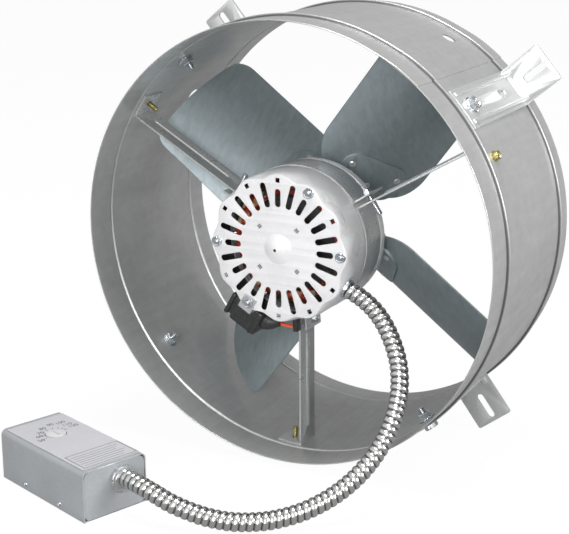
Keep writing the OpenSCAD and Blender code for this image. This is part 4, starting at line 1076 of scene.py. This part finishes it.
CAPACITOR_ANGLE = 240


def moulded_block(bm, low, high, r):
    """A box between two corners with rounded edges."""
    size = Vector(high) - Vector(low)
    middle = (Vector(high) + Vector(low)) / 2
    made = bmesh.ops.create_cube(bm, size=1.0, matrix=Matrix.Translation(middle)
                                 @ Matrix.Diagonal((*size, 1)))
    edges = {e for v in made["verts"] for e in v.link_edges}
    bmesh.ops.bevel(bm, geom=list(edges), offset=r, segments=3, profile=0.5, affect="EDGES")


bm = bmesh.new()
moulded_block(bm, (0.0655, -0.0125, 0.1350), (0.0875, 0.0140, 0.1750), 0.0015)
moulded_block(bm, (0.0652, 0.0085, 0.1347), (0.0878, 0.0103, 0.1753), 0.0005)
moulded_block(bm, (0.0675, -0.0165, 0.1380), (0.0855, -0.0120, 0.1720), 0.0008)
moulded_block(bm, (0.0662, -0.0200, 0.1362), (0.0868, -0.0160, 0.1738), 0.0013)
black_moulding = grained("black_moulding", (0.014, 0.015, 0.0145), (0.034, 0.036, 0.034), 0.36,
                         0.0, 420.0, 0.12, 0.15)
mesh_piece("capacitor", outward(bm, spun(CAPACITOR_ANGLE)), black_moulding,
           "run_capacitor", 32)
pressed_copy("capacitor_plate", "capacitor_tab", bright_plate)

# Capacitor boot
# A soft black boot slides over the capacitor's terminals and narrows to a beaded tip,
# where the two leads come out of it.

LEAD_DEPTH = 0.161
TIP_ANGLE = 262


def capped_tube(bm, stations, sides=40):
    """A closed tube through stations of (centre, way, radius)."""
    up = Vector((0, 1, 0))
    rows = []
    for at, ahead, r in stations:
        turns = [polar(r, 360 * k / sides) for k in range(sides)]
        rows.append([at + c * up + s * ahead.cross(up) for c, s in turns])
    verts = closed_grid(bm, rows, False)
    bm.faces.new(verts[0])
    bm.faces.new(verts[-1][::-1])


boot_way = round_place(CAPACITOR_ANGLE + 90, 0, 1)
boot_start = round_place(CAPACITOR_ANGLE, LEAD_DEPTH, 0.0745) + 0.014 * boot_way
boot_tip = round_place(TIP_ANGLE, LEAD_DEPTH, 0.070)
tip_way = round_place(TIP_ANGLE + 90, 0, 1)
bend = boot_start + boot_way * (boot_tip - boot_start).length * 0.5
stations = []
for t, r in ((0.0, 0.0085), (0.06, 0.0086), (0.16, 0.0085), (0.19, 0.0080), (0.30, 0.0077),
             (0.42, 0.0072), (0.54, 0.0066), (0.66, 0.0061), (0.78, 0.0056), (0.86, 0.0053),
             (0.89, 0.0057), (0.95, 0.0057), (0.99, 0.0052), (1.0, 0.0047), (0.94, 0.0044)):
    at = boot_start * (1 - t) ** 2 + bend * 2 * t * (1 - t) + boot_tip * t * t
    stations.append((at, boot_way.lerp(tip_way, t).normalized(), r))
bm = bmesh.new()
capped_tube(bm, stations)
black_rubber = grained("black_rubber", (0.018, 0.018, 0.018), (0.036, 0.036, 0.035), 0.5, 0.0,
                       300.0, 0.08)
mesh_piece("boot", outward(bm), black_rubber, "capacitor_boot", 50)

# Capacitor leads
# Two red orange insulated wires run side by side from the boot round the motor's side
# into a small moulded entry block.

LEAD_R = 0.0015

bm = bmesh.new()
for r in (0.0663, 0.0739):
    turns = [260.5 + 0.5 * k for k in range(27)]
    capped_tube(bm, [(round_place(a, LEAD_DEPTH, r), round_place(a + 90, 0, 1), LEAD_R)
                     for a in turns], 20)
lead_red = grained("lead_insulation", (0.80, 0.11, 0.04), (0.66, 0.07, 0.025), 0.34, 0.0, 240.0,
                   0.04, 0.2)
mesh_piece("leads", outward(bm), lead_red, "capacitor_leads", 50)
pressed_copy("lead_entry", "lead_grommet", black_moulding)

# Hub
# A pressed spider with four paddles, riveted to the blades, and a turned collar behind it
# that a set screw holds on the shaft.

BLADE_ANGLES = (53, 143, 233, 323)
BLADE_PITCH = radians(46.5)
BLADE_PLACE = 0.071
BLADE_LEAD = 0.0075
BEND_R = 0.18185
CAMBER = 0.009
RIVET_PLACES = ((0.059, 0.021), (0.059, -0.027), (0.045, -0.003))

blade_steel = zinc_sheet("blade_steel", (0.32, 0.37, 0.39), 0.72, 0.48, 0.05, 0.60, 0.55, 0.04)
pressed_copy("hub", "hub_spider", blade_steel, "rotor")
pressed_copy("collar", "hub_collar", cast_metal, "rotor")
dress(laminations, "hub_set_screw")


def build_rivet(bm):
    turned(bm, [(0, -0.0022), (0.0018, -0.0021), (0.0026, -0.0018), (0.0029, -0.0014),
                (0.0029, -0.0012), (0.0022, -0.0011), (0.0022, 0.0020), (0.0030, 0.0020),
                (0.0030, 0.0023), (0.0024, 0.0028), (0.0012, 0.0030), (0, 0.0030)], 32)


def blade_frame(angle):
    """Local x runs out along a blade, and local y across its chord."""
    return (spun(angle) @ Matrix.Translation((0, BLADE_LEAD, BLADE_PLACE))
            @ Matrix.Rotation(BLADE_PITCH, 4, "X"))


rivet_places = []
for angle in BLADE_ANGLES:
    for u, c in RIVET_PLACES:
        on_skin = (blade_frame(angle) @ Matrix.Translation((u, 0, CAMBER - BEND_R))
                   @ Matrix.Rotation(-c / BEND_R, 4, "X") @ Matrix.Translation((0, 0, BEND_R)))
        rivet_places.append((on_skin.translation.copy(), on_skin.col[2].xyz))
fasteners("rivet_set", build_rivet, rivet_places, arm_steel, "blade_rivets", 0.5, 7,
          "rotor")

# Blades
# Four arched steel blades with rounded corners, blue grey with pale streaks drawn across
# the sheet, each riveted to a paddle of the spider.

FAN_R = 0.1778
CHORD_HALF = 0.0565
BLADE_T = 0.0012
BLADE_ROOT = 0.038
TIP_ROUND = 0.018
ROOT_ROUND_LOW = 0.028
ROOT_ROUND_HIGH = 0.040
CUT_EDGE = 0.0002
ALONG = 40
BACK_END = 2 * ALONG + 3


def corner_loss(y, r):
    """How much shorter the blade is at a place across its chord, inside a round corner."""
    past = abs(y) - (CHORD_HALF - r)
    return r - sqrt(max(r * r - past * past, 0.0)) if past > 0 else 0.0


def blade_skin(x, y, depth):
    return Vector((x, y, sqrt((BEND_R - depth) ** 2 - y * y) + CAMBER - BEND_R))


rows = []
for i in range(73):
    y = CHORD_HALF * sin(pi / 2 * (i / 36 - 1))
    low_x = BLADE_ROOT + corner_loss(y, ROOT_ROUND_LOW if y < 0 else ROOT_ROUND_HIGH)
    skin_z = blade_skin(0, y, BLADE_T / 2).z
    sideways = BLADE_LEAD + y * cos(BLADE_PITCH) - skin_z * sin(BLADE_PITCH)
    high_x = min(FAN_R - corner_loss(y, TIP_ROUND),
                 sqrt((FAN_R - 0.0002) ** 2 - (abs(sideways) + 0.0006) ** 2))
    length = high_x - low_x - 2 * CUT_EDGE
    xs = [low_x + CUT_EDGE + length * (0.5 - 0.5 * cos(pi * k / ALONG)) for k in range(ALONG + 1)]
    rows.append([blade_skin(x, y, 0) for x in xs]
                + [blade_skin(high_x, y, CUT_EDGE), blade_skin(high_x, y, BLADE_T - CUT_EDGE)]
                + [blade_skin(x, y, BLADE_T) for x in reversed(xs)]
                + [blade_skin(low_x, y, BLADE_T - CUT_EDGE), blade_skin(low_x, y, CUT_EDGE)])
for i, angle in enumerate(BLADE_ANGLES, 1):
    bm = bmesh.new()
    verts = closed_grid(bm, rows, False)
    for end in (verts[0], verts[-1]):
        for k in range(ALONG):
            bm.faces.new((end[k], end[k + 1], end[BACK_END - 1 - k], end[BACK_END - k]))
        bm.faces.new(end[ALONG:ALONG + 4])
        bm.faces.new((end[0], *end[BACK_END:]))
    mesh_piece(f"blade_{i}", outward(bm, blade_frame(angle)), blade_steel,
               f"fan_blade_{i}", 40, "rotor")

# Conduit fittings
# A flanged bright zinc ferrule on the motor's side, and at the box a connector whose
# round shoulder has notches for a tool, with its toothed locknut inside.

BOX_AT = (-0.1299, -0.3008, FLOOR_Z)
BOX_TURN = radians(-20)
BOX_LONG = 0.060
BOX_HALF = 0.030
BOX_HIGH = 0.0425
EXIT_Y = 0.0066
EXIT_Z = 0.027
END_SUNK = 0.0007
RING_R = 0.0112
NOTCH_R = 0.0102

box_frame = Matrix.Translation(BOX_AT) @ Matrix.Rotation(BOX_TURN, 4, "Z")
exit_frame = (box_frame @ Matrix.Translation((BOX_LONG, EXIT_Y, EXIT_Z))
              @ Matrix.Rotation(pi / 2, 4, "Y"))
pressed_copy("motor_ferrule", "motor_connector", bright_zinc)
rows = []
for k in range(96):
    ring = RING_R if k % 12 < 9 else NOTCH_R
    line = [(0.0052, -0.0042), (0.0078, -0.0042), (0.0078, -END_SUNK), (ring, -END_SUNK),
            (ring, 0.0006), (ring, 0.0026), (ring - 0.0004, 0.0030), (0.0088, 0.0030),
            (0.0083, 0.0038), (0.0052, 0.0039)]
    rows.append([(*polar(r, 360 * k / 96), z) for r, z in line])
bm = bmesh.new()
closed_grid(bm, rows)
fitting_zinc = grained("fitting_zinc", (0.36, 0.37, 0.375), (0.56, 0.57, 0.58), 0.40, 0.7, 300.0,
                       0.06)
mesh_piece("box_fitting", outward(bm, exit_frame), fitting_zinc, "box_connector")
dress(bright_zinc, "connector_locknut")

# Thermostat box
# A folded sheet steel base and cover in satin blue grey paint. The cover's long edges are
# well rounded, and the end plates stand just inside its bright cut edge.

EDGE_R = 0.0050
SHEET = 0.001
CUT_ROUND = 0.0002
DIAL_AT = (-0.0205, -0.0020)
DIAL_HOLE = 0.0091

grey_paint = painted("grey_paint", (0.325, 0.342, 0.358), 0.38, 0.08, 0.05, 0.15, 0.08)


def arch(half, height, r):
    """The cover's outline across the box, open at the bottom."""
    return ([(half, 0.0)] + arc(half - r, height - r, r, 0, 90, 10)
            + arc(r - half, height - r, r, 90, 90, 10) + [(-half, 0.0)])


rows = []
for x, shrink in ((-BOX_LONG, CUT_ROUND), (CUT_ROUND - BOX_LONG, 0.0),
                  (BOX_LONG - CUT_ROUND, 0.0), (BOX_LONG, CUT_ROUND)):
    outer = arch(BOX_HALF - shrink, BOX_HIGH - shrink, EDGE_R)
    inner = arch(BOX_HALF - SHEET + shrink, BOX_HIGH - SHEET + shrink, EDGE_R - SHEET)
    rows.append([(x, y, z) for y, z in outer + inner[::-1]])
bm = bmesh.new()
verts = closed_grid(bm, rows, False)
for end in (verts[0], verts[-1]):
    for k in range(len(outer) - 1):
        bm.faces.new((end[k], end[k + 1], end[-k - 2], end[-k - 1])).material_index = 1
cover = mesh_piece("box_cover", outward(bm), grey_paint, "thermostat_cover")
cover.data.materials.append(bright_plate)
cut_hole(cover, Matrix.Translation((*DIAL_AT, BOX_HIGH)), DIAL_HOLE, 0.006, 64, 35)
cover.data.transform(box_frame)

inner_half = BOX_HALF - SHEET - CUT_ROUND
floor_outline = rectangle(-BOX_LONG, -inner_half, BOX_LONG - END_SUNK, inner_half)
end_outline = rectangle(-inner_half, 0.0, inner_half, BOX_HIGH - SHEET - CUT_ROUND, 0.0062)
stand = Matrix(((0, 0, 1, 0), (1, 0, 0, 0), (0, 1, 0, 0), (0, 0, 0, 1)))
bm = bmesh.new()
for outlines, at, turn in (
        ([floor_outline], (0, 0, SHEET), Matrix()),
        ([end_outline, disc(0.008, 48, EXIT_Y, EXIT_Z)], (BOX_LONG - END_SUNK, 0, 0), stand),
        ([end_outline, disc(0.011, 48, 0.0, BOX_HIGH / 2)], (SHEET - BOX_LONG, 0, 0), stand)):
    plate_frame = Matrix.Translation(at) @ turn
    bm.from_mesh(punched_plate("box_plate", outlines, SHEET, CUT_ROUND, plate_frame))
mesh_piece("box_base", outward(bm, box_frame), grey_paint, "thermostat_base")
dress(grey_paint, "knockout_slug")


def build_cover_screw(bm):
    turned(bm, [(0, 0.0), (0.0021, 0.0), (0.0022, 0.0004), (0.0019, 0.0009), (0.0011, 0.0012),
                (0.0009, 0.0007), (0, 0.0007)], 32)
    threaded(bm, 0.0016, -0.006, 0.0, 0.001)


screw_places = []
for side in (-1, 1):
    for x in (-0.025, 0.025):
        screw_places.append((box_frame @ Vector((x, side * BOX_HALF, 0.005)),
                             box_frame.to_3x3() @ Vector((0, side, 0))))
fasteners("cover_screw_set", build_cover_screw, screw_places, bright_zinc,
          "cover_screws", 0.6, 9)

# Thermostat label
# A pale printed label covers the box's top, with temperature numbers round the dial's
# hole and a ruled block at the end nearest the conduit.

LABEL_LONG = 0.0555
LABEL_HALF = 0.027
LABEL_T = 0.0003
PRINT_Z = BOX_HIGH + LABEL_T + 0.00003
NUMBERS = (("50", -16.2, -18.3), ("60", -24.3, -15.2), ("70", -30.2, -10.4), ("80", -37.0, -4.2),
           ("90", -40.1, 5.1), ("100", -38.3, 13.8), ("110", -31.2, 15.9), ("120", -25.4, 18.3))
DIGIT_SIZE = 0.0062
LINE = 0.0006
BLOCK_LEFT = 0.0260
BLOCK_RIGHT = 0.0535
BLOCK_LOW = -0.0240
BLOCK_HIGH = 0.0255

label_stock = painted("label_stock", (0.45, 0.45, 0.47), 0.80, 0.04, 0.01, 0.0, 0.03)
label_outline = rectangle(-LABEL_LONG, -LABEL_HALF, LABEL_LONG, LABEL_HALF, 0.001)
bm = bmesh.new()
bm.from_mesh(punched_plate("label_plate", [label_outline, disc(DIAL_HOLE, 64, *DIAL_AT)], LABEL_T,
                           0.00005, box_frame @ Matrix.Translation((0, 0, BOX_HIGH + LABEL_T))))
mesh_piece("label", bm, label_stock, "thermostat_label")

bm = bmesh.new()
for words, x, y in NUMBERS:
    text = bpy.data.curves.new("number", "FONT")
    text.body = words
    text.size = DIGIT_SIZE
    text.align_x = "CENTER"
    text.align_y = "CENTER"
    digits = mesh_from("number", text)
    digits.transform(Matrix.Translation((x / 1000, y / 1000, PRINT_Z))
                     @ Matrix.Rotation(pi / 2, 4, "Z"))
    bm.from_mesh(digits)
ruled = [(BLOCK_LEFT, BLOCK_LOW, BLOCK_LEFT + LINE, BLOCK_HIGH),
         (BLOCK_RIGHT, BLOCK_LOW, BLOCK_RIGHT + LINE, BLOCK_HIGH),
         (BLOCK_LEFT, BLOCK_LOW, BLOCK_RIGHT, BLOCK_LOW + LINE),
         (BLOCK_LEFT, BLOCK_HIGH, BLOCK_RIGHT + 0.0004, BLOCK_HIGH + LINE)]
for i in range(6):
    x = 0.0310 + 0.0037 * i
    ruled.append((x, -0.0215 + 0.001 * (i % 2), x + LINE * 0.8, 0.0225 - 0.003 * (i % 3)))
for box in ruled:
    flat_face(bm, rectangle(*box), PRINT_Z)
for _, x, y in NUMBERS:
    way = degrees(atan2(y / 1000 - DIAL_AT[1], x / 1000 - DIAL_AT[0]))
    tick = turned_points(rectangle(0.0100, -0.00025, 0.0135, 0.00025), way)
    flat_face(bm, [(px + DIAL_AT[0], py + DIAL_AT[1]) for px, py in tick], PRINT_Z)
bm.transform(box_frame)
ink = grained("dark_ink", (0.012, 0.012, 0.014), (0.025, 0.025, 0.028), 0.5, 0.0, 900.0, 0.01)
mesh_piece("label_print", bm, ink)

# Temperature dial
# A small white plastic dial with a coin slot, sunk into the hole in the label.

dial_white = painted("dial_white", (0.52, 0.52, 0.53), 0.40, 0.03, 0.01, 0.1, 0.03)
pressed_copy("dial_knob", "thermostat_dial", dial_white, "dial", 0.0004)

# Inside of the thermostat box
# A black switch on a zinc bracket with a bimetal strip, two brass terminals with their
# black leads, and a green ground screw on the floor of the base.

brass = grained("brass", (0.55, 0.38, 0.12), (0.66, 0.48, 0.18), 0.3, 1.0, 400.0)
green_screw = grained("green_screw", (0.03, 0.17, 0.07), (0.05, 0.24, 0.10), 0.35, 0.8, 400.0)
wire_black = grained("wire_black", (0.02, 0.02, 0.021), (0.04, 0.04, 0.041), 0.4, 0.0, 300.0)
dress(bright_plate, "switch_bracket")
dress(black_moulding, "switch_body")
dress(bronze, "bimetal_strip")
dress(brass, "terminal_screws")
dress(wire_black, "switch_leads")
dress(green_screw, "ground_screw")
